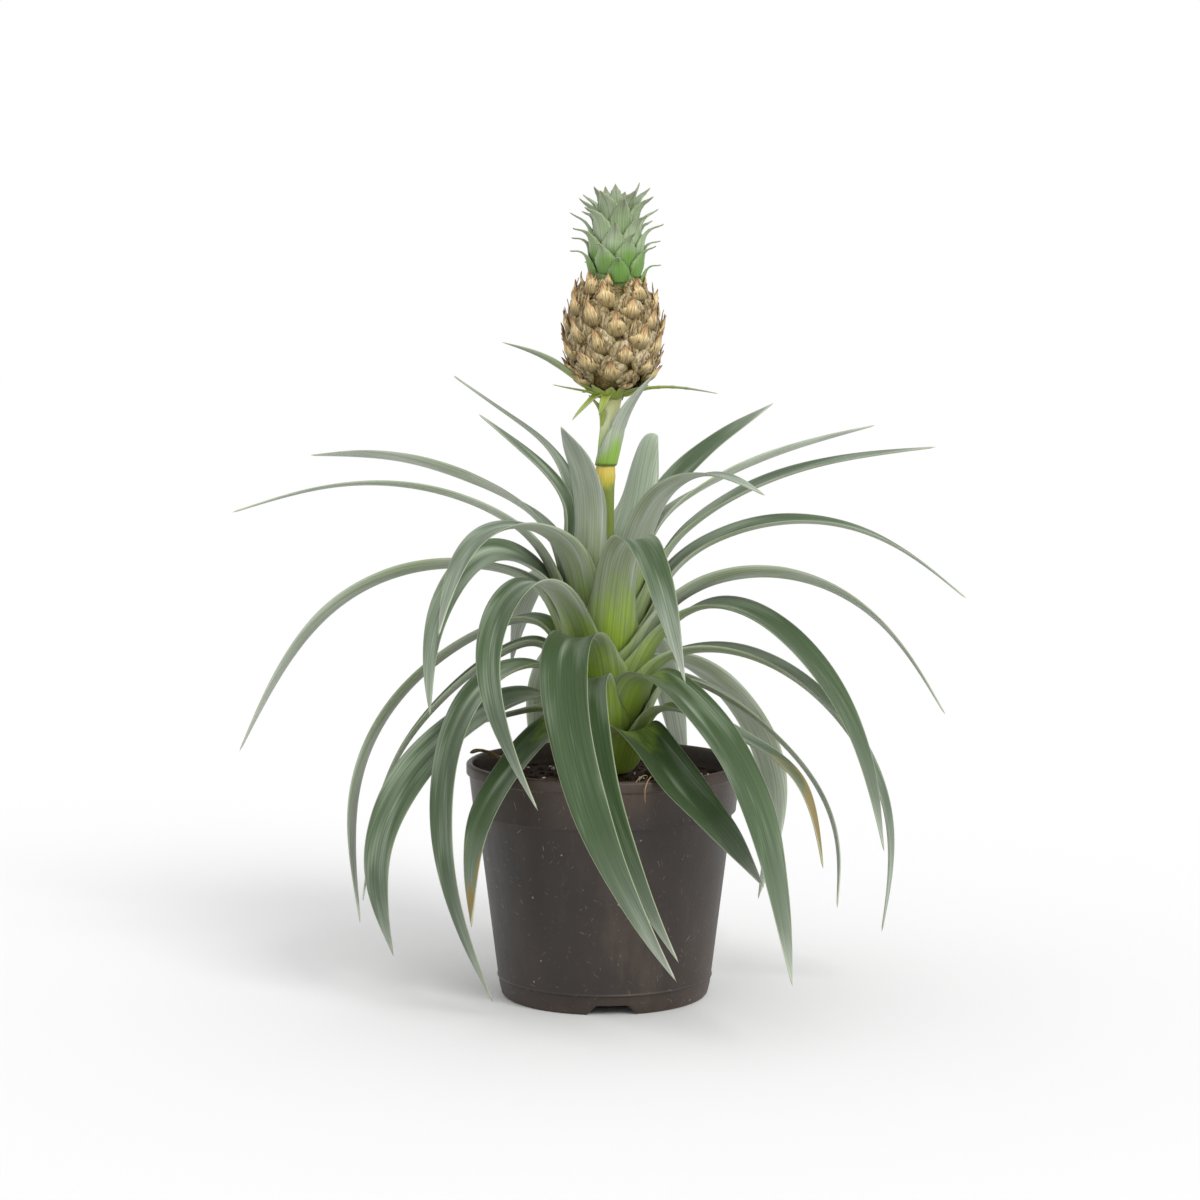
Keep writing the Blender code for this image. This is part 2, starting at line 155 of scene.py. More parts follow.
# unit vectors along a path, and across it as near as they come to a given side
def pathFrames(middle, aside):
    ahead = np.gradient(middle, axis=0)
    ahead /= np.linalg.norm(ahead, axis=1)[:, None]
    across = aside - ahead * (ahead @ aside)[:, None]
    across /= np.linalg.norm(across, axis=1)[:, None]
    return ahead, across


rollSpan = (0.15, 0.5)  # a blade rolls over between these parts of its length


# frames along a blade that leaves the axis on one bearing: where it is, across it, and its upper side
def bladeFrames(path, bearing, drift, roll, middleX=0.0):
    turn = math.radians(bearing)
    out = np.array((math.cos(turn), math.sin(turn), 0))
    aside = np.array((-math.sin(turn), math.cos(turn), 0))
    station = np.linspace(0, 1, len(path))
    middle = np.outer(path[:, 0], out) + np.outer(path[:, 1], (0, 0, 1))
    middle += np.outer(drift * station ** 2, aside)
    middle[:, 0] += middleX
    ahead, across = pathFrames(middle, aside)
    upper = np.cross(ahead, across)
    rolled = np.radians(roll) * np.clip((station - rollSpan[0]) / np.ptp(rollSpan), 0, 1)
    cosine, sine = np.cos(rolled)[:, None], np.sin(rolled)[:, None]
    return middle, across * cosine - upper * sine, upper * cosine + across * sine, station


crowding = 0.35  # how far a blade's columns crowd towards its margins


# A blade is two grids, its upper and lower skins, that meet along its margins, its foot and its tip.
# Across it is an arc: half is its half width, arc its half angle, sink how far it drops to stay level.
def addBlade(bm, middle, across, upper, half, arc, sink, thickness, columns, values, skins=(0, 0)):
    rows = len(half)
    arc, sink, thickness = [np.broadcast_to(value, rows) for value in (arc, sink, thickness)]
    even = np.linspace(-1, 1, columns + 1)
    part = np.sin(even * math.pi / 2) * crowding + even * (1 - crowding)
    angle = arc[:, None] * part[None, :]
    radius = (half / arc)[:, None]
    aside = (radius * np.sin(angle))[..., None]
    above = (radius * (1 - np.cos(angle) - sink[:, None]))[..., None]
    surface = middle[:, None] + across[:, None] * aside + upper[:, None] * above
    normal = upper[:, None] * np.cos(angle)[..., None] - across[:, None] * np.sin(angle)[..., None]
    depth = thickness[:, None] * np.sqrt(np.maximum(1 - part[None, :] ** 4, 0)) / 2
    depth[[0, -1]] = 0
    length = lengthAlong(middle)
    fields = {
        "acrossMm": part[None, :] * half[:, None],
        "alongMm": np.repeat(length[:, None], columns + 1, axis=1),
        "edgeMm": (1 - np.abs(part))[None, :] * half[:, None],
        "growth": np.repeat((length / length[-1])[:, None], columns + 1, axis=1),
    }
    floats = bm.verts.layers.float
    layers = {name: floats.get(name) or floats.new(name) for name in (*fields, *values)}
    made = []
    for side, skin in zip((1, -1), skins):
        grid = bmesh.ops.create_grid(bm, x_segments=columns, y_segments=rows - 1, size=1)["verts"]
        for vert in grid:
            i = round((vert.co.y + 1) / 2 * (rows - 1))
            j = round((vert.co.x + 1) / 2 * columns)
            for name, field in fields.items():
                vert[layers[name]] = field[i, j]
            for name, value in values.items():
                vert[layers[name]] = value
            vert.co = surface[i, j] + normal[i, j] * depth[i, j] * side
        for face in {face for vert in grid for face in vert.link_faces}:
            face.material_index = skin
        made += grid
    bmesh.ops.remove_doubles(bm, verts=made, dist=1e-4)


leafLook = {
    "marginMm": 0.4,  # the hard pale rim that runs round every blade
    "streakMm": (1.0, 70.0, 1.0),  # streaks of wax bloom, across and along the blade
    "bandMm": (6.25, 45.0, 1.0),  # broader bands that the streaks gather in
    "wobbleMm": (6.25, 20.0, 1.0),  # how the edge of the young green wanders
    "veinMm": (0.55, 83.0, 1.0),  # real veins are 0.3 mm apart, drawn wider so that they show
    "reliefMm": 0.25,
    "youngMm": (20.0, 22.0),  # how long the young green at the foot is, and what its youth adds
    "wander": 1.9,  # how much that length varies
    "edgeLag": 0.045,  # how much sooner it ends for each mm from the midline
    "veinShade": (0.76, 1.18),
    "glossSpread": (-0.06, 0.12),
    "dried": "#756430",
}


# a bromeliad blade: waxy cuticle, so a soft satin gloss, with a powdery bloom that breaks into streaks
def bladeMaterial(name, footStops, bodyStops, bloomColour, bloomLimits, marginColour, sockets):
    material, tree, shader = newMaterial(name, sockets)
    acrossMm, alongMm, edgeMm, growth, bloom, youth, dryness = [
        addNode(tree, "Attribute", {"attribute_name": field}).outputs["Fac"]
        for field in ("acrossMm", "alongMm", "edgeMm", "growth", "bloom", "youth", "dryness")]
    place = addNode(tree, "CombineXYZ", {}, {"X": acrossMm, "Y": alongMm})
    # the body's colour changes from foot to tip, and the foot keeps the young yellow-green
    body = addNode(tree, "ValToRGB", {"stops": bodyStops}, {"Fac": growth})
    foot = addNode(tree, "ValToRGB", {"stops": footStops}, {"Fac": growth})
    youngMm, youthMm = leafLook["youngMm"]
    youngLength = addNode(
        tree, "Math", {"operation": "MULTIPLY_ADD", 1: youthMm, 2: youngMm}, {0: youth})
    reach = addNode(tree, "Math", {"operation": "DIVIDE"}, {0: alongMm, 1: youngLength})
    wobbleScale = addNode(tree, "Mapping", {"Scale": perMm(leafLook["wobbleMm"])}, {"Vector": place})
    wobble = addNode(tree, "TexNoise", {"Scale": 1.0, "Detail": 3.0}, {"Vector": wobbleScale})
    shifted = addNode(
        tree, "Math", {"operation": "MULTIPLY_ADD", 1: leafLook["wander"], 2: -leafLook["wander"] / 2},
        {0: wobble})
    aside = addNode(tree, "Math", {"operation": "ABSOLUTE"}, {0: acrossMm})
    edged = addNode(
        tree, "Math", {"operation": "MULTIPLY_ADD", 1: leafLook["edgeLag"]}, {0: aside, 2: shifted})
    reached = addNode(tree, "Math", {"operation": "ADD"}, {0: reach, 1: edged})
    footMask = addNode(
        tree, "MapRange", {"From Min": 0.45, "From Max": 1.35, "To Min": 1.0, "To Max": 0.0,
                           "interpolation_type": "SMOOTHSTEP"}, {"Value": reached})
    grown = addNode(tree, "Mix", {"data_type": "RGBA"}, {0: footMask, 6: body, 7: foot})
    # long narrow streaks of bloom, thicker in some bands than in others and thin on the young green
    streakScale = addNode(tree, "Mapping", {"Scale": perMm(leafLook["streakMm"])}, {"Vector": place})
    streak = addNode(
        tree, "TexNoise", {"Scale": 1.0, "Detail": 4.0, "Roughness": 0.6}, {"Vector": streakScale})
    bandScale = addNode(
        tree, "Mapping", {"Scale": perMm(leafLook["bandMm"]), "Location": (5, 5, 5)}, {"Vector": place})
    band = addNode(
        tree, "TexNoise", {"Scale": 1.0, "Detail": 1.0, "Distortion": 0.3}, {"Vector": bandScale})
    both = addNode(tree, "Math", {"operation": "MULTIPLY_ADD", 1: 0.5}, {0: streak, 2: band})
    bloomed = addNode(tree, "Math", {"operation": "MULTIPLY_ADD", 1: 0.4}, {0: bloom, 2: both})
    bloomStart, bloomFull, bloomMost = bloomLimits
    bloomMask = addNode(
        tree, "MapRange", {"From Min": bloomStart, "From Max": bloomFull, "To Max": bloomMost,
                           "interpolation_type": "SMOOTHSTEP"}, {"Value": bloomed})
    notFoot = addNode(tree, "Math", {"operation": "MULTIPLY_ADD", 1: -0.85, 2: 1.0}, {0: footMask})
    bloomPart = addNode(tree, "Math", {"operation": "MULTIPLY"}, {0: bloomMask, 1: notFoot})
    waxed = addNode(tree, "Mix", {"data_type": "RGBA", 7: bloomColour}, {0: bloomPart, 6: grown})
    # lengthwise veins, a shade darker
    veinScale = addNode(tree, "Mapping", {"Scale": perMm(leafLook["veinMm"])}, {"Vector": place})
    vein = addNode(tree, "TexNoise", {"Scale": 1.0, "Detail": 2.0}, {"Vector": veinScale})
    darkVein, paleVein = leafLook["veinShade"]
    veinShade = addNode(
        tree, "MapRange", {"From Min": 0.35, "From Max": 0.65, "To Min": darkVein, "To Max": paleVein},
        {"Value": vein})
    veined = addNode(
        tree, "Mix", {"data_type": "RGBA", "blend_type": "MULTIPLY", 0: 1.0}, {6: waxed, 7: veinShade})
    # dry brown places near an old leaf's tip
    dryPlace = addNode(tree, "Math", {"operation": "MULTIPLY"}, {0: growth, 1: dryness})
    drySum = addNode(tree, "Math", {"operation": "MULTIPLY_ADD", 1: 0.9}, {0: wobble, 2: dryPlace})
    dryMask = addNode(tree, "MapRange", {"From Min": 1.05, "From Max": 1.22}, {"Value": drySum})
    dried = addNode(tree, "Mix", {"data_type": "RGBA", 7: leafLook["dried"]}, {0: dryMask, 6: veined})
    marginMm = leafLook["marginMm"]
    marginMask = addNode(
        tree, "MapRange", {"From Min": marginMm * 0.55, "From Max": marginMm, "To Min": 0.55, "To Max": 0.0},
        {"Value": edgeMm})
    rimmed = addNode(tree, "Mix", {"data_type": "RGBA", 7: marginColour}, {0: marginMask, 6: dried})
    relief = leafLook["reliefMm"] * mm
    bump = addNode(tree, "Bump", {"Strength": 0.35, "Distance": relief}, {"Height": vein})
    lowGloss, highGloss = [sockets["Roughness"] + change for change in leafLook["glossSpread"]]
    gloss = addNode(tree, "MapRange", {"To Min": lowGloss, "To Max": highGloss}, {"Value": streak})
    joinSockets(tree, shader, {"Base Color": rimmed, "Normal": bump, "Roughness": gloss})
    return material


waxyLeafUpper = bladeMaterial(
    "waxyLeafUpper",
    ((0.0, "#8fa93a"), (1.0, "#68863c")),
    ((0.0, "#4c622c"), (0.3, "#30471f"), (0.7, "#384e2b"), (0.88, "#5f6c58"), (1.0, "#999b94")),
    "#a3b19b", (0.8, 1.4, 0.8), "#b3bd98", {"Roughness": 0.42, "IOR": 1.45, "Sheen Weight": 0.08})
waxyLeafUnder = bladeMaterial(
    "waxyLeafUnder",
    ((0.0, "#93ae38"), (1.0, "#78944a")),
    ((0.0, "#84945f"), (0.3, "#87956f"), (0.7, "#909b84"), (0.9, "#999f95"), (1.0, "#a3a3a0")),
    "#b2b9aa", (0.8, 1.3, 0.85), "#a3ad8c", {"Roughness": 0.55, "IOR": 1.45, "Sheen Weight": 0.1})

# One row a leaf, from the lowest node up: bearing, node height, length of its upright sheath, then
# (reach, height) of the arch, the droop and the tip, the tip's sideways drift, the blade's roll, its
# width, and how silvery its bloom is. Millimetres and degrees.
leafRows = (
    (294, 97, 20, (62, 103), (92, 82), (109, 64), 22, -8, 23, 0.1),
    (228, 100, 20, (64, 104), (87, 78), (95, 45), 12, 0, 19, 0.3),
    (150, 101, 22, (45, 120), (62, 112), (66, 88), 60, 0, 15, 0.6),
    (332, 103, 20, (73, 118), (103, 103), (121, 72), -40, 0, 14, 0.4),
    (214, 107, 22, (68, 123), (101, 72), (82, 18), -42, 30, 20, 0.7),
    (100, 107, 24, (58, 128), (92, 96), (104, 52), 12, 0, 18, 0.5),
    (5, 109, 27, (76, 111), (95, 70), (92, 48), -62, 0, 16, 0.7),
    (258, 112, 24, (56, 143), (92, 98), (92, 35), 50, 0, 17, 0.3),
    (55, 115, 22, (86, 127), (120, 76), (88, 29), -24, 0, 22, 0.6),
    (112, 117, 24, (64, 140), (98, 104), (106, 44), -20, 0, 19, 0.5),
    (308, 117, 22, (72, 128), (119, 79), (143, 31), -18, 0, 22, 0.3),
    (218, 117.5, 24, (56, 145), (88, 84), (66, 6), 8, 0, 20, 0.5),
    (76, 121, 26, (62, 150), (106, 120), (124, 66), -10, 0, 19, 0.5),
    (340, 122, 22, (51, 153), (118, 90), (111, 24), 52, 0, 18, 0.6),
    (180, 125, 26, (84, 114), (99, 76), (103, 46), 30, 0, 17, 0.6),
    (250, 128, 24, (64, 159), (102, 104), (104, 32), 68, 0, 22, 0.2),
    (336, 130, 24, (46, 172), (107, 132), (125, 70), 8, -15, 19, 0.3),
    (162, 130, 30, (80, 139), (104, 84), (91, 36), 58, 0, 17, 0.6),
    (94, 131, 28, (56, 168), (98, 148), (124, 98), 10, 0, 19, 0.5),
    (172, 135.5, 42, (56, 187), (117, 169), (157, 106), 22, -15, 18, 0.7),
    (236, 136, 26, (62, 185), (103, 158), (94, 96), 31, 0, 17, 0.6),
    (340, 137, 24, (66, 186), (120, 170), (152, 130), -6, 20, 18, 0.8),
    (72, 138, 30, (52, 180), (96, 166), (128, 122), 8, 0, 18, 0.6),
    (114, 141.5, 32, (50, 180), (90, 168), (122, 130), -6, 0, 18, 0.5),
    (195, 142, 40, (50, 194), (72, 174), (80, 126), 14, 35, 18, 0.9),
    (10, 144, 34, (68, 204), (122, 198), (165, 169), 9, -8, 18, 0.6),
    (278, 146, 28, (44, 201), (84, 192), (103, 148), 18, 0, 18, 0.5),
    (96, 148, 30, (50, 193), (88, 187), (123, 154), 6, 0, 17, 0.6),
    (188, 149, 44, (72, 220), (118, 222), (159, 211), -6, -5, 17, 0.9),
    (352, 151, 38, (58, 219), (101, 234), (142, 240), -24, -12, 17, 0.5),
    (78, 154, 32, (46, 196), (80, 210), (118, 202), 6, 0, 16, 0.6),
    (222, 154, 40, (60, 208), (94, 198), (121, 168), 36, 0, 19, 0.7),
    (158, 154, 46, (66, 222), (114, 231), (162, 230), -38, -25, 17, 0.9),
    (305, 156, 26, (38, 217), (78, 230), (114, 223), -2, 0, 18, 0.8),
    (30, 159.5, 38, (60, 223), (106, 236), (153, 244), 16, 25, 15, 0.8),
    (103, 160, 28, (36, 207), (66, 209), (98, 198), -4, 0, 15, 0.6),
    (182, 166, 30, (16, 212), (34, 236), (54, 252), -6, 20, 14, 0.3),
    (44, 166, 32, (38, 217), (78, 239), (122, 254), 14, -20, 13, 0.3),
    (238, 166, 26, (17, 212), (36, 236), (58, 249), 15, 0, 18, 0.8),
    (135, 170, 30, (26, 227), (62, 250), (103, 267), -6, -20, 11, 0.7),
    (52, 173, 26, (26, 217), (41, 241), (44, 237), 5, 0, 29, 1.6),
)
leafPlan = {
    "footReach": (13.0, 9.0),  # how far from the axis a leaf starts, low on the stem and at its top
    "footHeights": (118.0, 160.0),
    "lean": (20.0, 12.0),  # how far the sheaths lean out, in degrees, low on the stem and at its top
    "leanHeights": (150.0, 175.0),
    "channel": 38.0,  # half angle of the gutter that every blade is folded into
    "channelOpening": 0.45,  # how much of that fold the blade's outer half loses
    "flat": {41: -62.0},  # a blade whose margins turn down
    "sheathWrap": 105.0,  # the most that a sheath goes round the core, each way
    "sheathSpread": 1.0,  # how much wider than its blade a sheath is at its foot
    "sheathBulge": 2.5,  # how far the sheaths belly out from the core, in mm
    "bulgeEnd": 0.34,
    "thickness": (1.5, 0.8),  # at the foot and at the tip
    "taper": 3.4,
    "tapers": {41: 2.3},  # a blade that narrows sooner
    "wander": 0.9,  # a slow sideways wander in mm, as no blade grows quite straight
    "youth": (0.4, 1.0),
    "dry": {2: 0.75, 4: 1.0, 14: 0.5},
    "littleDry": 0.1,
    "rows": 76,
    "columns": 12,
}


def growLeaf(number, row):
    bearing, node, rise, arch, droop, tip, drift, roll, width, bloom = row
    upright = float(np.interp(node, leafPlan["leanHeights"], (0, 1)))
    lean = math.radians(float(np.interp(node, leafPlan["leanHeights"], leafPlan["lean"])))
    start = (math.sin(lean), math.cos(lean))
    footReach = float(np.interp(node, leafPlan["footHeights"], leafPlan["footReach"]))
    sheathTop = (footReach + rise * start[0], node + rise * start[1])
    path = smoothPath(((footReach, node), sheathTop, arch, droop, tip), start, leafPlan["rows"])
    climbed = np.clip(np.linspace(0, 1, leafPlan["rows"]) / leafPlan["bulgeEnd"], 0, 1)
    path[:, 0] += leafPlan["sheathBulge"] * (1 - upright) * np.sin(np.pi * climbed ** 0.7) ** 1.5
    middle, across, upper, station = bladeFrames(path, bearing, drift, roll)
    chance = random.Random(number)
    phase = chance.uniform(0, 6.3)
    fade = np.clip(station * 3 - 0.6, 0, 1) * (1 - station)
    wander = leafPlan["wander"] * np.sin(station * 7 + phase) * fade
    middle = middle + across * wander[:, None]
    length = lengthAlong(middle)
    # the blade comes free of the core a little way up its sheath
    free = np.clip((length - rise * 0.35) / (rise * 1.9), 0, 1)
    free = free * free * (3 - 2 * free)
    spread = leafPlan["sheathSpread"] * np.exp(-(length / (rise * 0.8)) ** 2)
    taper = leafPlan["tapers"].get(number, leafPlan["taper"])
    half = width / 2 * (1 - station ** taper) * (1 + spread)
    half *= 1 + 0.025 * np.sin(station * 23 + phase * 2)
    opened = leafPlan["channelOpening"] * np.clip((station - 0.4) / 0.4, 0, 1)
    channel = math.radians(leafPlan["flat"].get(number, leafPlan["channel"]))
    channel = channel * (1 + 0.15 * np.sin(station * 5 + phase)) * (1 - opened)
    wrap = math.radians(leafPlan["sheathWrap"])
    reach = np.maximum(path[:, 0], footReach)
    half = np.minimum(half, wrap * reach)
    arc = np.clip(half / reach, np.abs(channel), wrap)
    arc = channel + (arc - channel) * (1 - free)
    arc = np.where(np.abs(arc) < 0.03, 0.03, arc)
    sink = free * (1 - np.cos(arc)) / 2
    thickness = np.interp(station, (0, 1), leafPlan["thickness"])
    # the upper leaves are green for less of their length
    youth = chance.uniform(*leafPlan["youth"]) - 0.6 * upright
    values = {"bloom": bloom, "youth": youth, "dryness": leafPlan["dry"].get(number, leafPlan["littleDry"])}
    bm = bmesh.new()
    addBlade(
        bm, middle, across, upper, half, arc, sink, thickness, leafPlan["columns"], values, skins=(0, 1))
    finishPiece(
        f"blade_{number:02d}", bm, (waxyLeafUpper, waxyLeafUnder), [f"leaf_{number:02d}"])


for number, row in enumerate(leafRows, 1):
    growLeaf(number, row)
print("leaves grown:", len(leafRows))

stalkPlan = {
    "coreProfile": (
        (0, 70), (7, 70), (9, 90), (12, 100), (14, 125), (13, 155), (9, 170), (5.2, 178.2), (0, 178.2)),
    "coreSteps": 32,
    "foot": 178.3,
    "top": 262.2,
    "radius": 4.2,
    "swell": ((0, 1.0), (0.3, 1.0), (0.5, 0.98), (0.56, 1.06), (0.63, 0.94), (0.85, 0.86), (1, 1.05)),
    "scar": (0.22, 0.905, 0.006),  # a fallen bract's ring mark: its height in mm, its place and its width
    "ribs": 5,
    "ribHeight": 0.12,
    "rings": 64,
    "steps": 40,
    "lean": 3.6,  # how far the stalk has moved sideways at the fruit
}
stalkLook = {
    "rippleMm": 4.0,  # how the edges of the colour bands wander
    "ripple": 0.03,
    "fibreMm": (0.7, 0.7, 11.0),  # across and along; real fibres are 0.2 mm, drawn wider so that they show
    "fibreShade": (0.86, 1.08),
    "reliefMm": 0.3,
    "heights": (0.093, 0.263),  # where the colours below start and end, in metres
    "colours": (
        (0.0, "#46381f"), (0.07, "#5b5428"), (0.15, "#71833a"), (0.745, "#78883c"), (0.765, "#c0b54a"),
        (0.805, "#d2b958"), (0.83, "#8fb83a"), (0.87, "#a9c070"), (0.915, "#c6cda6"), (0.965, "#d3d49a"),
        (1.0, "#bccb5c")),
}


def stalkMiddle(height):
    rise = (height - 178.0) / 84.0
    return stalkPlan["lean"] * (1.9 * rise ** 3 - 0.9 * rise ** 2)


# young stem tissue: smooth and satin, its colour changing with height, dark brown at its foot
def stalkMaterial():
    material, tree, shader = newMaterial("fleshyStalk", {"Roughness": 0.45, "IOR": 1.42})
    place = addNode(tree, "TexCoord").outputs["Object"]
    upwards = addNode(tree, "SeparateXYZ", {}, {0: place}).outputs["Z"]
    bottom, top = stalkLook["heights"]
    heights = addNode(tree, "MapRange", {"From Min": bottom, "From Max": top}, {"Value": upwards})
    rippleScale = 1 / (stalkLook["rippleMm"] * mm)
    ripple = addNode(tree, "TexNoise", {"Scale": rippleScale, "Detail": 3.0}, {"Vector": place})
    shift = addNode(
        tree, "Math", {"operation": "MULTIPLY_ADD", 1: stalkLook["ripple"], 2: -stalkLook["ripple"] / 2},
        {0: ripple})
    height = addNode(tree, "Math", {"operation": "ADD"}, {0: heights, 1: shift})
    ramp = addNode(tree, "ValToRGB", {"stops": stalkLook["colours"]}, {"Fac": height})
    stretched = addNode(tree, "Mapping", {"Scale": perMetre(stalkLook["fibreMm"])}, {"Vector": place})
    fibre = addNode(tree, "TexNoise", {"Scale": 1.0, "Detail": 2.0}, {"Vector": stretched})
    dark, pale = stalkLook["fibreShade"]
    shade = addNode(
        tree, "MapRange", {"From Min": 0.3, "From Max": 0.7, "To Min": dark, "To Max": pale},
        {"Value": fibre})
    tinted = addNode(
        tree, "Mix", {"data_type": "RGBA", "blend_type": "MULTIPLY", 0: 1.0}, {6: ramp, 7: shade})
    relief = stalkLook["reliefMm"] * mm
    bump = addNode(tree, "Bump", {"Strength": 0.3, "Distance": relief}, {"Height": fibre})
    joinSockets(tree, shader, {"Base Color": tinted, "Normal": bump})
    return material


fleshyStalk = stalkMaterial()


def growCore():
    bm = bmesh.new()
    spinProfile(bm, stalkPlan["coreProfile"], stalkPlan["coreSteps"])
    finishPiece("stemCore", bm, (fleshyStalk,), ["stem"])


def growStalk():
    bm = bmesh.new()
    foot, top = stalkPlan["foot"], stalkPlan["top"]
    scarHeight, scarPlace, scarWidth = stalkPlan["scar"]
    parts, swells = zip(*stalkPlan["swell"])
    profile = [(0, foot)]
    for i in range(stalkPlan["rings"] + 1):
        part = i / stalkPlan["rings"]
        scar = scarHeight * math.exp(-((part - scarPlace) / scarWidth) ** 2)
        radius = stalkPlan["radius"] * float(np.interp(part, parts, swells)) + scar
        profile.append((radius, foot + (top - foot) * part))
    profile.append((0, top))
    spinProfile(bm, profile, stalkPlan["steps"])
    for vert in bm.verts:
        turn = math.atan2(vert.co.y, vert.co.x)
        rib = stalkPlan["ribHeight"] * math.cos(turn * stalkPlan["ribs"] + vert.co.z * 0.05)
        vert.co.x += stalkMiddle(vert.co.z) + rib * math.cos(turn)
        vert.co.y += rib * math.sin(turn)
    finishPiece("fruitStalk", bm, (fleshyStalk,), ["stalk"])


growCore()
growStalk()

# small blades near the fruit: the same waxy tissue, younger and yellower, or paler on the stalk's leaf
youngBract = bladeMaterial(
    "youngBract",
    ((0.0, "#a3b04a"), (1.0, "#8fa148")),
    ((0.0, "#8f9e4c"), (0.35, "#87965a"), (0.65, "#868f76"), (1.0, "#8a8a80")),
    "#9ba58e", (1.0, 1.4, 0.6), "#98a27a", {"Roughness": 0.5, "IOR": 1.45, "Sheen Weight": 0.1})
paleStalkLeaf = bladeMaterial(
    "paleStalkLeaf",
    ((0.0, "#86b02f"), (1.0, "#93a86c")),
    ((0.0, "#a0aa90"), (0.5, "#a0a998"), (1.0, "#979e93")),
    "#b6bcb0", (0.8, 1.2, 0.7), "#a9b09a", {"Roughness": 0.55, "IOR": 1.45, "Sheen Weight": 0.15})

# bearing, foot (reach, height), middle, tip, sideways drift of the tip, width and teeth along the margin
bractRows = (
    (186, (5.5, 259), (26, 275), (47, 283), -6, 6.2, 0),
    (196, (5.5, 259.5), (16, 263), (27, 265), 2, 4.4, 0.3),
    (214, (5.5, 259.5), (13, 257), (22, 250), 2, 5.0, 0),
    (250, (5.5, 260), (9.5, 258), (11.5, 252), -2, 4.6, 0),
    (345, (6.0, 259.5), (22, 264), (45, 261), 8, 7.0, 0.8),
    (70, (6.0, 257), (18, 266), (30, 271), 4, 5.0, 0.3),
    (118, (6.0, 259), (18, 264), (28, 262), -5, 5.0, 0.3),
)
stalkLeafRow = (310, (4.75, 230), (8.6, 248), (25, 270), 6.5, 10.5, 0)
bractPlan = {
    "start": (0.8, 0.6),  # the direction that it leaves the stalk in
    "rows": 28,
    "footArc": 50,  # half angles of its fold, at its foot and further out
    "channel": 35,
    "clasp": 0.5,  # how much wider its foot is
    "roll": 0,
    "bloom": 0.3,
    "youth": 0.5,
}
oldBractPlan = {**bractPlan, "roll": -35, "bloom": 1.6, "youth": 0.0}  # the longest one is grey and turned
stalkLeafPlan = {
    **bractPlan, "start": (0.02, 1.0), "rows": 40, "footArc": 120, "channel": 32, "clasp": 1.2,
    "bloom": 0.8, "youth": -0.3}


def growBract(name, node, row, skin, plan):
    bearing, foot, elbow, tip, drift, width, teeth = row
    rows = plan["rows"]
    path = smoothPath((foot, elbow, tip), plan["start"], rows)
    middle, across, upper, station = bladeFrames(
        path, bearing, drift, plan["roll"], stalkMiddle(foot[1]))
    half = width / 2 * (1 - station ** 2.2) * (1 + plan["clasp"] * np.exp(-(station / 0.2) ** 2))
    half = half + teeth * (np.arange(rows) % 4 == 2) * (station > 0.2) * (station < 0.8)
    free = np.clip(station / 0.35, 0, 1)
    arc = np.radians(plan["footArc"] + (plan["channel"] - plan["footArc"]) * free)
    half = np.minimum(half, arc * np.maximum(path[:, 0], 4))
    sink = free * (1 - np.cos(arc)) / 2
    values = {"bloom": plan["bloom"], "youth": plan["youth"], "dryness": 0.2}
    bm = bmesh.new()
    addBlade(bm, middle, across, upper, half, arc, sink, 0.9 - 0.5 * station, 8, values)
    finishPiece(name, bm, (skin,), [node])


for number, row in enumerate(bractRows, 1):
    plan = oldBractPlan if number == 1 else bractPlan
    growBract(f"bractBlade_{number}", f"bract_{number}", row, youngBract, plan)
growBract("stalkLeafBlade", "stalk_leaf", stalkLeafRow, paleStalkLeaf, stalkLeafPlan)

collarPlan = {
    "scales": 11,
    "rows": 12,
    "start": (0.6, 0.8),
    "foot": (4.6, 258.5),
    "elbow": (8.5, 261.6),
    "reach": (12.0, 18.0),
    "height": 262.0,
    "raised": 3.2,  # every other scale stands this much higher
    "halfWidth": (2.6, 3.8),
    "fold": 35,
    "teeth": 0.25,
    "thickness": 0.6,
    "columns": 6,
}
claspPlan = {
    "path": ((3.8, 243), (4.6, 254), (9.5, 261)),
    "start": (0.02, 1.0),
    "bearing": 192,
    "halfWidth": 5.0,
    "rows": 20,
    "columns": 8,
    "thickness": 0.5,
}


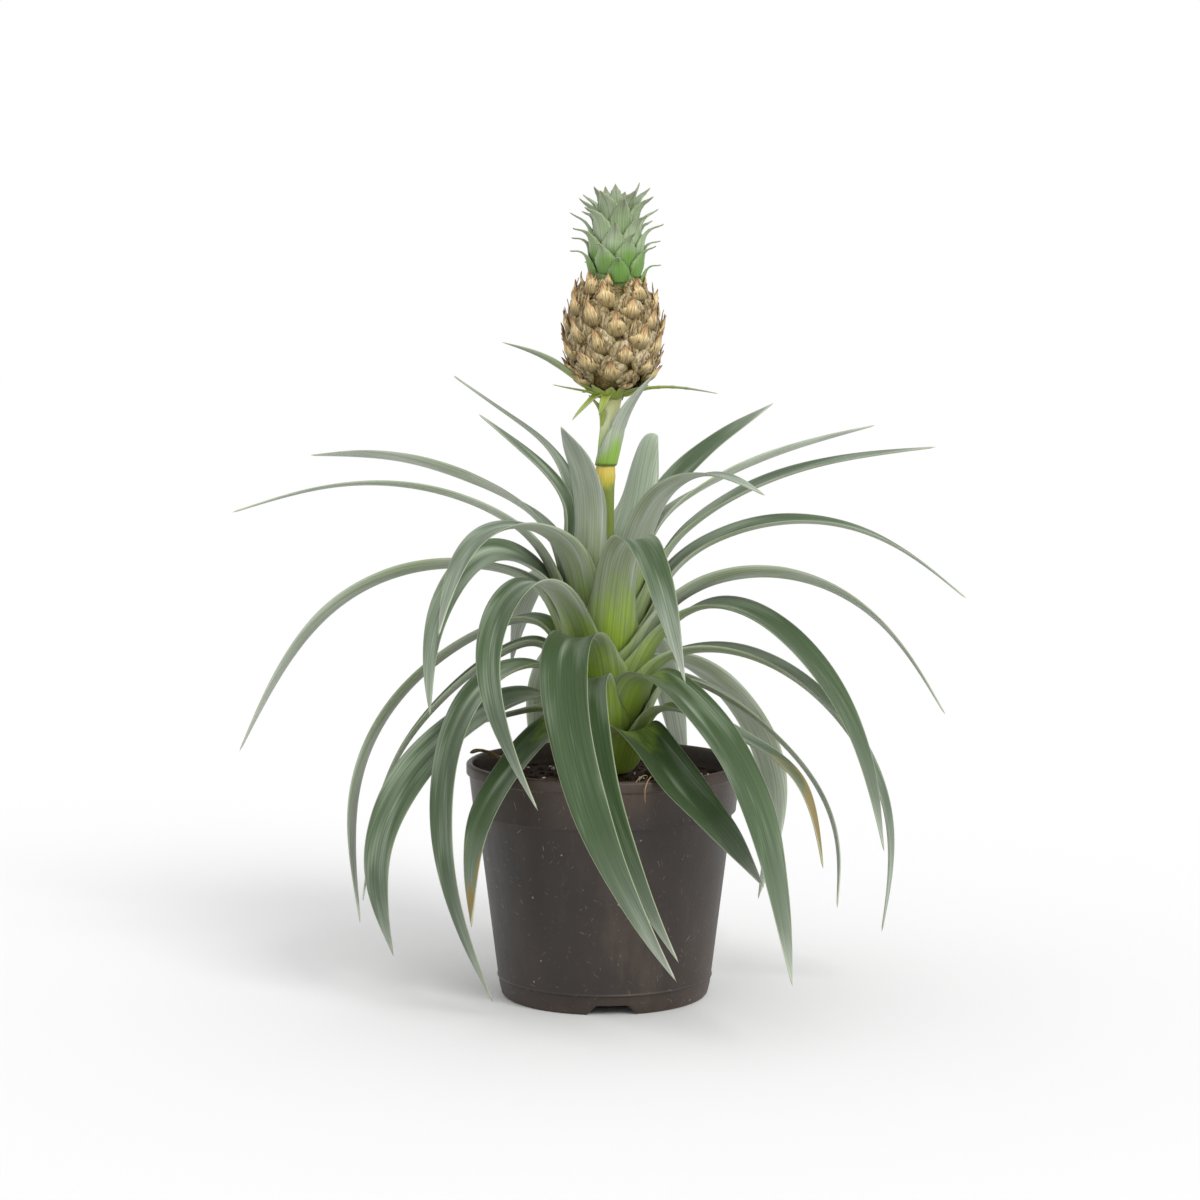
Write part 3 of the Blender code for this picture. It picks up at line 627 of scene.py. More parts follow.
# short scales ring the fruit's foot, and a longer one clasps the stalk below them
def growCollar():
    bm = bmesh.new()
    chance = random.Random(5)
    rows = collarPlan["rows"]
    for k in range(collarPlan["scales"]):
        bearing = k * 360 / collarPlan["scales"] + chance.uniform(-9, 9)
        reach = chance.uniform(*collarPlan["reach"])
        rise = chance.uniform(-1.0, 2.0) + collarPlan["raised"] * (k % 2)
        footReach, footHeight = collarPlan["foot"]
        foot = (footReach, footHeight + chance.uniform(0, 1.0))
        path = smoothPath(
            (foot, collarPlan["elbow"], (reach, collarPlan["height"] + rise)), collarPlan["start"], rows)
        middle, across, upper, station = bladeFrames(
            path, bearing, chance.uniform(-2, 2), 0, stalkMiddle(258))
        half = chance.uniform(*collarPlan["halfWidth"]) * (1 - station ** 2)
        half = half * (1 + 0.3 * np.exp(-(station / 0.2) ** 2))
        half = half + collarPlan["teeth"] * (np.arange(rows) % 3 == 1) * (station > 0.3)
        addBlade(
            bm, middle, across, upper, half, math.radians(collarPlan["fold"]), 0, collarPlan["thickness"],
            collarPlan["columns"], {"bloom": 0.1, "youth": chance.uniform(-0.3, 0.6), "dryness": 0.5})
    path = smoothPath(claspPlan["path"], claspPlan["start"], claspPlan["rows"])
    middle, across, upper, station = bladeFrames(path, claspPlan["bearing"], 0, 0, stalkMiddle(250))
    half = claspPlan["halfWidth"] * (1 - station ** 3) * np.clip(0.06 + station * 2, 0, 1)
    addBlade(
        bm, middle, across, upper, half, half / np.maximum(path[:, 0], 4.5), 0, claspPlan["thickness"],
        claspPlan["columns"], {"bloom": 0.1, "youth": 0.5, "dryness": 0.1})
    finishPiece("collarBracts", bm, (youngBract,))


growCollar()
print("stalk and bracts grown")

fruitPlan = {
    "axis": 3.6,
    "foot": 262.5,
    "height": 48.0,
    "radius": 18.2,
    "bodyInset": 1.3,  # how far the body between the eyes lies under their middles
    "bodyRings": 36,
    "bodySteps": 64,
    "eyes": 48,
    "eyeSpan": (0.055, 0.94),  # the parts of the height that the eyes' spiral starts and ends at
    "eyeWidth": 12.8,
    "eyeHeight": 11.6,
    "eyeDepth": 3.4,
    "eyeOverlap": 1.16,
    "diamond": 1.5,  # the power that squeezes an eye's outline: 2 is round and 1 a diamond
    "beakFold": ((0, 0.3, 0.7, 1), (40, 52, 62, 50)),  # half angle of an eye's bract along its length
    "beakOutline": ((0, 0.12, 0.4, 0.62, 0.8, 1), (0.6, 1, 0.85, 0.5, 0.26, 0)),
    "slivers": 5,
    "sliverOutline": ((0, 0.3, 0.7, 1), (0.6, 1, 0.6, 0)),
    "scales": 12,
    "scaleFoot": (12.6, 306.0),
    "scaleOutline": ((0, 0.3, 0.6, 1), (0.9, 1, 0.55, 0)),
}
rindLook = {
    "mottleMm": 1.6,  # patches of brown and grey
    "gritMm": 0.75,  # the rind's real grit is 0.2 mm, drawn coarser so that it shows
    "reliefMm": 0.6,
    "tones": ((0.05, "#413417"), (0.3, "#6c5c33"), (0.5, "#8d7c55"), (0.72, "#b0a17e"), (0.95, "#cfc0a0")),
    "grooves": ((0.0, "#a79a52"), (0.35, "#c0b376"), (0.8, "#ffffff")),
}
paperLook = {
    "fibreMm": (0.25, 4.0, 0.025),  # across and along; the last one sets each bract's fibres apart
    "reliefMm": 0.4,
    "fibres": ((0.3, "#7d6540"), (0.46, "#bda77c"), (0.66, "#ecdfbd")),
    "lengthwise": (
        (0.0, "#7d774c"), (0.22, "#a8a07c"), (0.55, "#fff8e4"), (0.82, "#d3b593"), (1.0, "#6b4d33")),
    "edgeMm": (0.1, 0.55),
    "edge": "#6b4d2b",
}


# pineapple rind: hard dry eyes, olive to brown, darker in the grooves between them
def rindMaterial():
    material, tree, shader = newMaterial("dryRind", {"Roughness": 0.62, "IOR": 1.45})
    tone, raised = [
        addNode(tree, "Attribute", {"attribute_name": field}).outputs["Fac"] for field in ("tone", "raised")]
    place = addNode(tree, "TexCoord").outputs["Object"]
    drawnOut = addNode(tree, "Mapping", {"Scale": (1, 1, 0.35)}, {"Vector": place})
    mottleScale = 1 / (rindLook["mottleMm"] * mm)
    mottle = addNode(
        tree, "TexNoise", {"Scale": mottleScale, "Detail": 6.0, "Roughness": 0.7, "Distortion": 0.6},
        {"Vector": drawnOut})
    spread = addNode(
        tree, "MapRange", {"From Min": 0.37, "From Max": 0.63, "To Max": 1.2, "clamp": False},
        {"Value": mottle})
    mixed = addNode(tree, "Math", {"operation": "MULTIPLY_ADD", 1: 0.5}, {0: tone, 2: spread})
    level = addNode(tree, "Math", {"operation": "MULTIPLY", 1: 0.62}, {0: mixed})
    eye = addNode(tree, "ValToRGB", {"stops": rindLook["tones"]}, {"Fac": level})
    groove = addNode(tree, "ValToRGB", {"stops": rindLook["grooves"]}, {"Fac": raised})
    shaded = addNode(
        tree, "Mix", {"data_type": "RGBA", "blend_type": "MULTIPLY", 0: 0.85}, {6: eye, 7: groove})
    gritScale = 1 / (rindLook["gritMm"] * mm)
    grit = addNode(tree, "TexNoise", {"Scale": gritScale, "Detail": 4.0}, {"Vector": place})
    rough = addNode(tree, "Math", {"operation": "MULTIPLY_ADD", 1: 2.0}, {0: mottle, 2: grit})
    relief = rindLook["reliefMm"] * mm
    bump = addNode(tree, "Bump", {"Strength": 0.7, "Distance": relief}, {"Height": rough})
    joinSockets(tree, shader, {"Base Color": shaded, "Normal": bump})
    return material


# the eye's bract, dried to paper: pale tan, fibrous along its length, browned at its edges and beak
def paperMaterial():
    material, tree, shader = newMaterial("paperyBract", {"Roughness": 0.7, "IOR": 1.4, "Sheen Weight": 0.1})
    acrossMm, alongMm, edgeMm, growth, tone = [
        addNode(tree, "Attribute", {"attribute_name": field}).outputs["Fac"]
        for field in ("acrossMm", "alongMm", "edgeMm", "growth", "tone")]
    place = addNode(tree, "CombineXYZ", {}, {"X": acrossMm, "Y": alongMm, "Z": tone})
    fibreScale = addNode(tree, "Mapping", {"Scale": perMm(paperLook["fibreMm"])}, {"Vector": place})
    fibre = addNode(tree, "TexNoise", {"Scale": 1.0, "Detail": 3.0}, {"Vector": fibreScale})
    body = addNode(tree, "ValToRGB", {"stops": paperLook["fibres"]}, {"Fac": fibre})
    lengthwise = addNode(tree, "ValToRGB", {"stops": paperLook["lengthwise"]}, {"Fac": growth})
    grown = addNode(
        tree, "Mix", {"data_type": "RGBA", "blend_type": "MULTIPLY", 0: 0.9}, {6: body, 7: lengthwise})
    edgeStart, edgeEnd = paperLook["edgeMm"]
    edge = addNode(
        tree, "MapRange", {"From Min": edgeStart, "From Max": edgeEnd, "To Min": 0.7, "To Max": 0.0},
        {"Value": edgeMm})
    browned = addNode(tree, "Mix", {"data_type": "RGBA", 7: paperLook["edge"]}, {0: edge, 6: grown})
    relief = paperLook["reliefMm"] * mm
    bump = addNode(tree, "Bump", {"Strength": 0.5, "Distance": relief}, {"Height": fibre})
    joinSockets(tree, shader, {"Base Color": browned, "Normal": bump})
    return material


dryRind = rindMaterial()
paperyBract = paperMaterial()


# the fruit's radius and height at a part of its height, drawn in at both ends
def fruitPoint(part):
    ends = 1 - 0.24 * math.exp(-(part / 0.09) ** 2) - 0.26 * math.exp(-((1 - part) / 0.09) ** 2)
    radius = fruitPlan["radius"] * ends * math.sin(math.pi * (0.16 + 0.70 * part)) ** 0.6
    return np.array((radius, fruitPlan["foot"] + fruitPlan["height"] * part))


# where an eye sits: its middle, then its sideways, upward and outward directions
def eyeFrame(part, turn):
    step = 0.012
    slope = fruitPoint(min(part + step, 1)) - fruitPoint(max(part - step, 0))
    slope /= np.linalg.norm(slope)
    out = np.array((math.cos(turn), math.sin(turn), 0))
    side = np.array((-math.sin(turn), math.cos(turn), 0))
    rise = out * slope[0] + np.array((0, 0, slope[1]))
    facing = out * slope[1] - np.array((0, 0, slope[0]))
    radius, height = fruitPoint(part)
    middle = out * radius + np.array((fruitPlan["axis"], 0, height))
    return middle, side, rise, facing


def addFruitBody(bm, toneLayer, raisedLayer):
    foot, top = fruitPlan["foot"], fruitPlan["foot"] + fruitPlan["height"]
    profile = [(0, foot - 0.25), (4.5, foot - 0.25)]
    for i in range(fruitPlan["bodyRings"] + 1):
        radius, height = fruitPoint(0.01 + 0.98 * i / fruitPlan["bodyRings"])
        profile.append((radius - fruitPlan["bodyInset"], height))
    profile.append((0, top - 0.6))
    spinProfile(bm, profile, fruitPlan["bodySteps"], fruitPlan["axis"])
    for vert in bm.verts:
        vert[toneLayer] = 0.6
        vert[raisedLayer] = 0.3


# a bead squeezed towards a diamond, which rises to a blunt peak above its middle
def addEye(bm, toneLayer, raisedLayer, number, eye, size, tone, peak):
    middle, side, rise, facing = eye
    power = fruitPlan["diamond"]
    broad = fruitPlan["eyeWidth"] / 2 * size * fruitPlan["eyeOverlap"]
    tall = fruitPlan["eyeHeight"] / 2 * size * fruitPlan["eyeOverlap"]
    for vert in bmesh.ops.create_icosphere(bm, subdivisions=3, radius=1)["verts"]:
        x, y, z = vert.co
        square = (abs(x) ** power + abs(y) ** power) ** (1 / power)
        ring = math.hypot(x, y)
        squeeze = ring / square if square > 1e-6 else 1
        folds = 0.16 * math.sin(math.atan2(y, x) * 7 + number) * ring
        crinkle = noise.noise(Vector((x * 2.2 + number, y * 2.2, z * 2))) * 0.4 + folds
        depth = (0.35 * z + 0.65 * (1 - ring ** 1.2)) * (1 + crinkle) if z > 0 else z * 0.5
        place = middle + side * x * squeeze * broad + rise * (y * squeeze + peak * max(z, 0)) * tall
        vert[toneLayer] = tone
        vert[raisedLayer] = max(0.0, min(1.0, z * 1.5))
        vert.co = place + facing * (depth * fruitPlan["eyeDepth"] * size - 0.6)


# the bract clasps the lower half of its eye and ends in a beak above the middle
def addEyeBract(bm, chance, number, eye, size, tone):
    middle, side, rise, facing = eye
    steps = np.linspace(0, 1, 14)
    reach = 0.9 + fruitPlan["eyeDepth"] * np.sin(np.pi * 0.5 * np.clip(steps / 0.6, 0, 1)) * size
    beak = chance.uniform(0.1, 2.0)
    reach = reach + beak * np.clip((steps - 0.6) / 0.4, 0, 1) ** 1.5 + 0.15 * np.sin(steps * 9 + number)
    climb = (-0.50 + chance.uniform(0.75, 1.12) * steps) * fruitPlan["eyeHeight"] * size
    lean = chance.uniform(-2.4, 2.4)
    path = middle + np.outer(climb, rise) + np.outer(reach - 0.45, facing)
    path = path + np.outer(lean * steps ** 2, side)
    ahead, across = pathFrames(path, side)
    under = np.cross(ahead, across)
    half = fruitPlan["eyeWidth"] * size * chance.uniform(0.30, 0.52) * np.interp(
        steps, *fruitPlan["beakOutline"])
    half = half * (1 + 0.12 * np.sin(steps * 17 + number * 2))
    places, angles = fruitPlan["beakFold"]
    addBlade(
        bm, path, across, under, half, np.interp(steps, places, np.radians(angles)), 0, 0.5, 8,
        {"tone": tone})
    # torn brown slivers of dead flower stand round its upper edge
    for sliver in range(fruitPlan["slivers"]):
        offset = fruitPlan["eyeWidth"] * size * chance.uniform(-0.42, 0.42)
        turnIn = -0.5 * offset + chance.uniform(-0.8, 0.8)
        climb = chance.uniform(-0.3, 0.1) + chance.uniform(0.4, 0.75) * steps
        shelter = max(0.0, 1 - (offset / (fruitPlan["eyeWidth"] * size * 0.5)) ** 2)
        reach = fruitPlan["eyeDepth"] * size * (0.25 + 0.75 * shelter)
        reach = reach + chance.uniform(0.2, 1.8) * steps ** 2 - 0.2
        path = middle + np.outer(climb * fruitPlan["eyeHeight"] * size, rise) + np.outer(reach, facing)
        path = path + np.outer(offset + turnIn * steps, side)
        half = chance.uniform(0.4, 0.9) * np.interp(steps, *fruitPlan["sliverOutline"])
        addBlade(bm, path, across, under, half, 0.7, 0, 0.35, 4, {"tone": tone + sliver})


# dry scales round the foot of the crown
def addCrownScales(bm, chance):
    steps = np.linspace(0, 1, 10)
    footReach, footHeight = fruitPlan["scaleFoot"]
    for k in range(fruitPlan["scales"]):
        turn = k * 2 * math.pi / fruitPlan["scales"] + chance.uniform(-0.22, 0.22)
        tall = chance.uniform(3.0, 8.0)
        start = footReach + chance.uniform(-0.5, 0.8)
        outward = chance.uniform(-0.6, 1.6)
        reach = start + 1.2 * np.sin(steps * np.pi) + outward * steps ** 2
        path = np.stack([reach, footHeight + tall * steps], axis=1)
        middle, across, upper, station = bladeFrames(
            path, math.degrees(turn), chance.uniform(-1.5, 1.5), 0, fruitPlan["axis"])
        half = chance.uniform(2.0, 3.0) * np.interp(steps, *fruitPlan["scaleOutline"])
        addBlade(
            bm, middle, across, upper, half, math.radians(45), 0, 0.5, 6, {"tone": chance.uniform(0, 1)})


def growFruit():
    rindMesh, paperMesh = bmesh.new(), bmesh.new()
    toneLayer = rindMesh.verts.layers.float.new("tone")
    raisedLayer = rindMesh.verts.layers.float.new("raised")
    addFruitBody(rindMesh, toneLayer, raisedLayer)
    chance = random.Random(7)
    for k in range(fruitPlan["eyes"]):
        along = (k + 0.5) / fruitPlan["eyes"]
        part = float(np.interp(along, (0, 1), fruitPlan["eyeSpan"])) + chance.uniform(-0.008, 0.008)
        eye = eyeFrame(part, k * goldenTurn + 0.4 + chance.uniform(-0.03, 0.03))
        size = 0.68 + 0.32 * min(1, math.sin(math.pi * (0.08 + 0.84 * part)) * 1.25)
        size = size * chance.uniform(0.94, 1.06)
        tone = chance.uniform(0.1, 0.95)
        addEye(rindMesh, toneLayer, raisedLayer, k, eye, size, tone, chance.uniform(0.05, 0.25))
        addEyeBract(paperMesh, chance, k, eye, size, tone)
    addCrownScales(paperMesh, chance)
    finishPiece("fruitRind", rindMesh, (dryRind,), ["fruit"])
    finishPiece("fruitBracts", paperMesh, (paperyBract,))


growFruit()
print("fruit grown")

# the tables below run from the crown's lowest leaf, at part 0, to its highest, at part 1
crownPlan = {
    "axis": 5.0,
    "foot": 305.5,
    "climb": 25.0,
    "leaves": 37,
    "columnRadius": (10.5, 4.5),
    "columnProfile": ((0, 0), (10, 0), (10.4, 6), (6, 20), (0, 30)),
    "columnSteps": 32,
    "length": ((0, 0.15, 0.5, 0.8, 1), (15, 19.5, 24, 25, 19.5)),
    "width": ((0, 0.3, 0.7, 1), (10.5, 13.0, 15.0, 12.5)),
    "belly": ((0, 0.4, 1), (20, 12, 8)),  # how far it leans out at its foot, in degrees
    "flare": ((0, 0.25, 0.6, 0.85, 1), (88, 78, 62, 42, 14)),  # and how much further it turns out
    "recurve": 8,
    "reach": 20.0,  # the furthest that a leaf goes from the crown's axis
    "lowOutline": ((0, 0.25, 0.42, 0.55, 0.72, 1), (0.8, 1.0, 0.74, 0.34, 0.15, 0)),  # ends in a spike
    "highOutline": ((0, 0.3, 0.55, 0.75, 0.9, 1), (0.8, 1.0, 0.76, 0.44, 0.2, 0)),
    "fold": ((0, 0.4, 1), (50, 36, 40)),
    "teeth": 0.42,
    "rows": 26,
    "columns": 6,
}
crownLeaf = bladeMaterial(
    "crownLeaf",
    ((0.0, "#5b842c"), (1.0, "#648a40")),
    ((0.0, "#6d8a4e"), (0.3, "#7b945f"), (0.75, "#8f9e7c"), (0.93, "#81826b"), (1.0, "#6a5c4b")),
    "#adb8a0", (0.7, 1.2, 0.85), "#86986e", {"Roughness": 0.5, "IOR": 1.45, "Sheen Weight": 0.08})


# low leaves clasp the column and turn out into thin spikes, high ones stand up
def addCrownLeaf(bm, chance, number):
    part = (number + 0.5) / crownPlan["leaves"]
    foot = crownPlan["foot"] + crownPlan["climb"] * part ** 0.9
    wide, narrow = crownPlan["columnRadius"]
    columnRadius = wide + (narrow - wide) * part ** 2
    length = np.interp(part, *crownPlan["length"]) * chance.uniform(0.92, 1.06)
    flare = np.radians(np.interp(part, *crownPlan["flare"]) + chance.uniform(-9, 9))
    belly = np.radians(np.interp(part, *crownPlan["belly"]))
    rows = crownPlan["rows"]
    steps = np.linspace(0, 1, rows)
    bend = belly * (1 - steps) + flare * np.clip((steps - 0.38) / 0.4, 0, 1) ** 1.2
    bend = bend - np.radians(crownPlan["recurve"]) * np.clip((steps - 0.7) / 0.3, 0, 1) * (1 - part)
    stride = length / (rows - 1)
    reach = columnRadius + np.concatenate([[0], np.cumsum(np.sin(bend[:-1]) * stride)])
    climb = foot + np.concatenate([[0], np.cumsum(np.cos(bend[:-1]) * stride)])
    path = np.stack([np.minimum(reach, crownPlan["reach"]), climb], axis=1)
    middle, across, upper, station = bladeFrames(
        path, math.degrees(number * goldenTurn), chance.uniform(-2.0, 2.0), 0, crownPlan["axis"])
    blend = np.clip((part - 0.25) / 0.5, 0, 1)
    outline = np.interp(steps, *crownPlan["lowOutline"]) * (1 - blend)
    outline = outline + np.interp(steps, *crownPlan["highOutline"]) * blend
    half = np.interp(part, *crownPlan["width"]) / 2 * outline
    half = half + crownPlan["teeth"] * (np.arange(rows) % 4 == 1) * (steps > 0.3) * (steps < 0.86)
    places, angles = crownPlan["fold"]
    arc = np.interp(steps, places, np.radians(angles))
    sink = station * (1 - np.cos(arc)) / 2
    values = {"bloom": chance.uniform(0.2, 0.9), "youth": -0.72 + 0.5 * (1 - part) ** 3, "dryness": 0.35}
    addBlade(
        bm, middle, across, upper, half, arc, sink, 1.0 - 0.5 * steps, crownPlan["columns"], values)


def growCrown():
    leavesMesh, columnMesh = bmesh.new(), bmesh.new()
    chance = random.Random(11)
    for k in range(crownPlan["leaves"]):
        addCrownLeaf(leavesMesh, chance, k)
    profile = [(radius, crownPlan["foot"] + height) for radius, height in crownPlan["columnProfile"]]
    spinProfile(columnMesh, profile, crownPlan["columnSteps"], crownPlan["axis"])
    finishPiece("crownColumn", columnMesh, (crownLeaf,), ["crown_1"])
    finishPiece("crownLeaves", leavesMesh, (crownLeaf,), [f"crown_{i}" for i in range(2, 6)])


growCrown()
print("crown grown")

# The pot's outline from the middle of its floor's underside, round the foot ring, up the wall with its
# ridge and collar to the rolled lip, and down the inside to the floor.
potPlan = {
    "profile": (
        (0, 4.8), (41.8, 4.8), (41.8, 0), (44, 0), (45, 1), (46, 5), (46.4, 8.1), (46.9, 8.4), (46.9, 8.8),
        (46.6, 9.4), (55.5, 80.7), (57, 80.9), (57.1, 82.0), (58.8, 96.4), (59.3, 97), (60, 97.3),
        (60, 101.2), (59, 102), (57.8, 102), (57.1, 101.2), (56.9, 95), (55.2, 82.7), (53.7, 80.7),
        (44.4, 6.8), (0, 6.8)),
    "steps": 240,
    "bevel": 0.22,
    "height": 102.0,
    "notchSpacing": 120.0,
    "firstNotch": -86.0,
    "notchHeight": 4.2,
    "notchAngles": (8.5, 14.0),  # half the notch's width at its top and at its foot, in degrees
    "notchReach": 40.0,  # only the foot ring, outside this, is notched
}
potLook = {
    "cloudMm": 45.0,  # slow changes of the plastic's shade
    "smearMm": (17.0, 17.0, 70.0),  # dried water marks, across and down
    "speckMm": 3.0,  # how far apart specks of compost and lime can lie; each is 0.5 to 1 mm wide
    "scratchMm": (4.0, 4.0, 0.35),  # scratches, along and across; real ones are 0.1 mm wide
    "scratchSlants": ((0, 0.5, 0.2), (0, -0.9, 0), (0.2, 1.3, 0.5)),
    "grainMm": 1.1,  # the mould's texture, really 0.3 mm
    "reliefMm": 0.3,
    "plastic": ((0.3, "#1f1a16"), (0.5, "#28211d"), (0.72, "#352b24")),
    "smear": "#5f554a",
    "speck": "#a39a8e",
    "scratch": "#8b8178",
    "dust": "#5f4a3c",
    "dustHeights": ((0.0, 0.55), (0.1, 0.1), (0.8, 0.05), (0.97, 0.6)),  # how dusty, from foot to lip
}


# moulded polypropylene: near-black brown, satin, with handling scuffs, watering marks and soil dust
def potMaterial():
    material, tree, shader = newMaterial("mouldedPolypropylene", {"IOR": 1.49})
    place = addNode(tree, "TexCoord").outputs["Object"]
    upwards = addNode(tree, "SeparateXYZ", {}, {0: place}).outputs["Z"]
    cloudScale = 1 / (potLook["cloudMm"] * mm)
    cloud = addNode(
        tree, "TexNoise", {"Scale": cloudScale, "Detail": 5.0, "Roughness": 0.6}, {"Vector": place})
    smearPlace = addNode(tree, "Mapping", {"Scale": perMetre(potLook["smearMm"])}, {"Vector": place})
    smear = addNode(
        tree, "TexNoise", {"Scale": 1.0, "Detail": 5.0, "Roughness": 0.7}, {"Vector": smearPlace})
    body = addNode(tree, "ValToRGB", {"stops": potLook["plastic"]}, {"Fac": cloud})
    smearMask = addNode(
        tree, "MapRange", {"From Min": 0.52, "From Max": 0.78, "To Max": 0.35}, {"Value": smear})
    smeared = addNode(tree, "Mix", {"data_type": "RGBA", 7: potLook["smear"]}, {0: smearMask, 6: body})
    # a few of the cells hold a speck
    speckScale = 1 / (potLook["speckMm"] * mm)
    cell = addNode(tree, "TexVoronoi", {"Scale": speckScale}, {"Vector": place})
    chosen = addNode(tree, "SeparateColor", {}, {0: cell.outputs["Color"]})
    speckSize = addNode(
        tree, "MapRange", {"From Min": 0.955, "From Max": 1.0, "To Max": 0.32}, {"Value": chosen})
    speckMask = addNode(
        tree, "Math", {"operation": "LESS_THAN"}, {0: cell.outputs["Distance"], 1: speckSize})
    speckPart = addNode(tree, "Math", {"operation": "MULTIPLY", 1: 0.55}, {0: speckMask})
    specked = addNode(tree, "Mix", {"data_type": "RGBA", 7: potLook["speck"]}, {0: speckPart, 6: smeared})
    # short fine scratches, each the peak of a noise drawn out along one slant
    scratchSize = [size * mm for size in potLook["scratchMm"]]
    scratches = None
    for slant in potLook["scratchSlants"]:
        scratchPlace = addNode(
            tree, "Mapping", {"vector_type": "TEXTURE", "Rotation": slant, "Scale": scratchSize},
            {"Vector": place})
        scratch = addNode(tree, "TexNoise", {"Scale": 1.0, "Detail": 0.0}, {"Vector": scratchPlace})
        line = addNode(
            tree, "MapRange", {"From Min": 0.81, "From Max": 0.87, "To Min": 0.0, "To Max": 0.5},
            {"Value": scratch})
        if scratches is not None:
            line = addNode(tree, "Math", {"operation": "MAXIMUM"}, {0: scratches, 1: line})
        scratches = line
    scratched = addNode(
        tree, "Mix", {"data_type": "RGBA", 7: potLook["scratch"]}, {0: scratches, 6: specked})
    # soil dust lies near the rim and at the foot
    height = addNode(tree, "MapRange", {"From Max": potPlan["height"] * mm}, {"Value": upwards})
    dustHeight = addNode(tree, "ValToRGB", {"stops": potLook["dustHeights"]}, {"Fac": height})
    dust = addNode(tree, "Math", {"operation": "MULTIPLY"}, {0: dustHeight, 1: smear})
    dusted = addNode(tree, "Mix", {"data_type": "RGBA", 7: potLook["dust"]}, {0: dust, 6: scratched})
    gloss = addNode(
        tree, "MapRange", {"From Min": 0.3, "From Max": 0.75, "To Min": 0.38, "To Max": 0.62},
        {"Value": smear})
    grainScale = 1 / (potLook["grainMm"] * mm)
    grain = addNode(tree, "TexNoise", {"Scale": grainScale, "Detail": 3.0}, {"Vector": place})
    relief = potLook["reliefMm"] * mm
    bump = addNode(tree, "Bump", {"Strength": 0.18, "Distance": relief}, {"Height": grain})
    joinSockets(tree, shader, {"Base Color": dusted, "Roughness": gloss, "Normal": bump})
    return material


def mouldPot():
    bm = bmesh.new()
    spinProfile(bm, potPlan["profile"], potPlan["steps"], 0.0, potPlan["bevel"])
    spacing = potPlan["notchSpacing"]
    top, foot = potPlan["notchAngles"]
    for vert in bm.verts:
        bearing = math.degrees(math.atan2(vert.co.y, vert.co.x))
        away = abs((bearing - potPlan["firstNotch"] + spacing / 2) % spacing - spacing / 2)
        lift = potPlan["notchHeight"] * min(max((foot - away) / (foot - top), 0), 1)
        if vert.co.xy.length > potPlan["notchReach"] and vert.co.z < lift:
            vert.co.z = lift
    finishPiece("nurseryPot", bm, (potMaterial(),), ["pot"])


mouldPot()
print("pot moulded")

soilPlan = {
    "radius": 56.2,
    "edge": 93.0,  # its height at the wall and at its middle
    "middle": 95.5,
    "lumps": ((0.09, 3.0, 1.1), (0.28, 9.0, 0.9), (0.8, 5.0, 0.5)),  # scale per mm, seed and height in mm
    "cells": 150,
    "skirtRadius": 51.0,  # where its sides end, inside the pot
    "skirtFoot": 60.0,
    "lumpMm": 3.0,
    "reliefMm": 1.2,
}


# damp peat compost, bark and perlite: matt and broken, lighter where they have dried
def soilMaterial(name, stops, roughness):
    material, tree, shader = newMaterial(name, {"Roughness": roughness, "IOR": 1.4})
    place = addNode(tree, "TexCoord").outputs["Object"]
    lumpScale = 1 / (soilPlan["lumpMm"] * mm)
    lump = addNode(
        tree, "TexNoise", {"Scale": lumpScale, "Detail": 6.0, "Roughness": 0.7}, {"Vector": place})
    colour = addNode(tree, "ValToRGB", {"stops": stops}, {"Fac": lump})
    relief = soilPlan["reliefMm"] * mm
    bump = addNode(tree, "Bump", {"Strength": 0.8, "Distance": relief}, {"Height": lump})
    joinSockets(tree, shader, {"Base Color": colour, "Normal": bump})
    return material


dampPeat = soilMaterial("dampPeat", ((0.3, "#1c130d"), (0.52, "#33231a"), (0.75, "#5a4433")), 0.95)
pineBark = soilMaterial("pineBark", ((0.3, "#2e1c12"), (0.55, "#5d3f2b"), (0.8, "#8a6a4c")), 0.85)
perlite = soilMaterial("expandedPerlite", ((0.3, "#c9c4ba"), (0.7, "#f2efe8")), 0.9)


def soilHeight(x, y):
    reach = math.hypot(x, y) / soilPlan["radius"]
    level = soilPlan["middle"] + (soilPlan["edge"] - soilPlan["middle"]) * reach
    for scale, seed, height in soilPlan["lumps"]:
        level += noise.noise(Vector((x * scale, y * scale, seed))) * height
    return level


def laySoil():
    bm = bmesh.new()
    cells, radius = soilPlan["cells"], soilPlan["radius"]
    for vert in bmesh.ops.create_grid(bm, x_segments=cells, y_segments=cells, size=1)["verts"]:
        x, y = vert.co.x, vert.co.y  # the square grid is rounded into a disc
        discX = x * math.sqrt(1 - y * y / 2) * radius
        discY = y * math.sqrt(1 - x * x / 2) * radius
        vert.co = (discX, discY, soilHeight(discX, discY))
    rim = [edge for edge in bm.edges if edge.is_boundary]
    for item in bmesh.ops.extrude_edge_only(bm, edges=rim)["geom"]:
        if isinstance(item, bmesh.types.BMVert):
            outward = item.co.xy.normalized() * soilPlan["skirtRadius"]
            item.co = (outward.x, outward.y, soilPlan["skirtFoot"])
    bmesh.ops.holes_fill(bm, edges=[edge for edge in bm.edges if edge.is_boundary], sides=0)
    finishPiece("soilBed", bm, (dampPeat,), ["soil"])


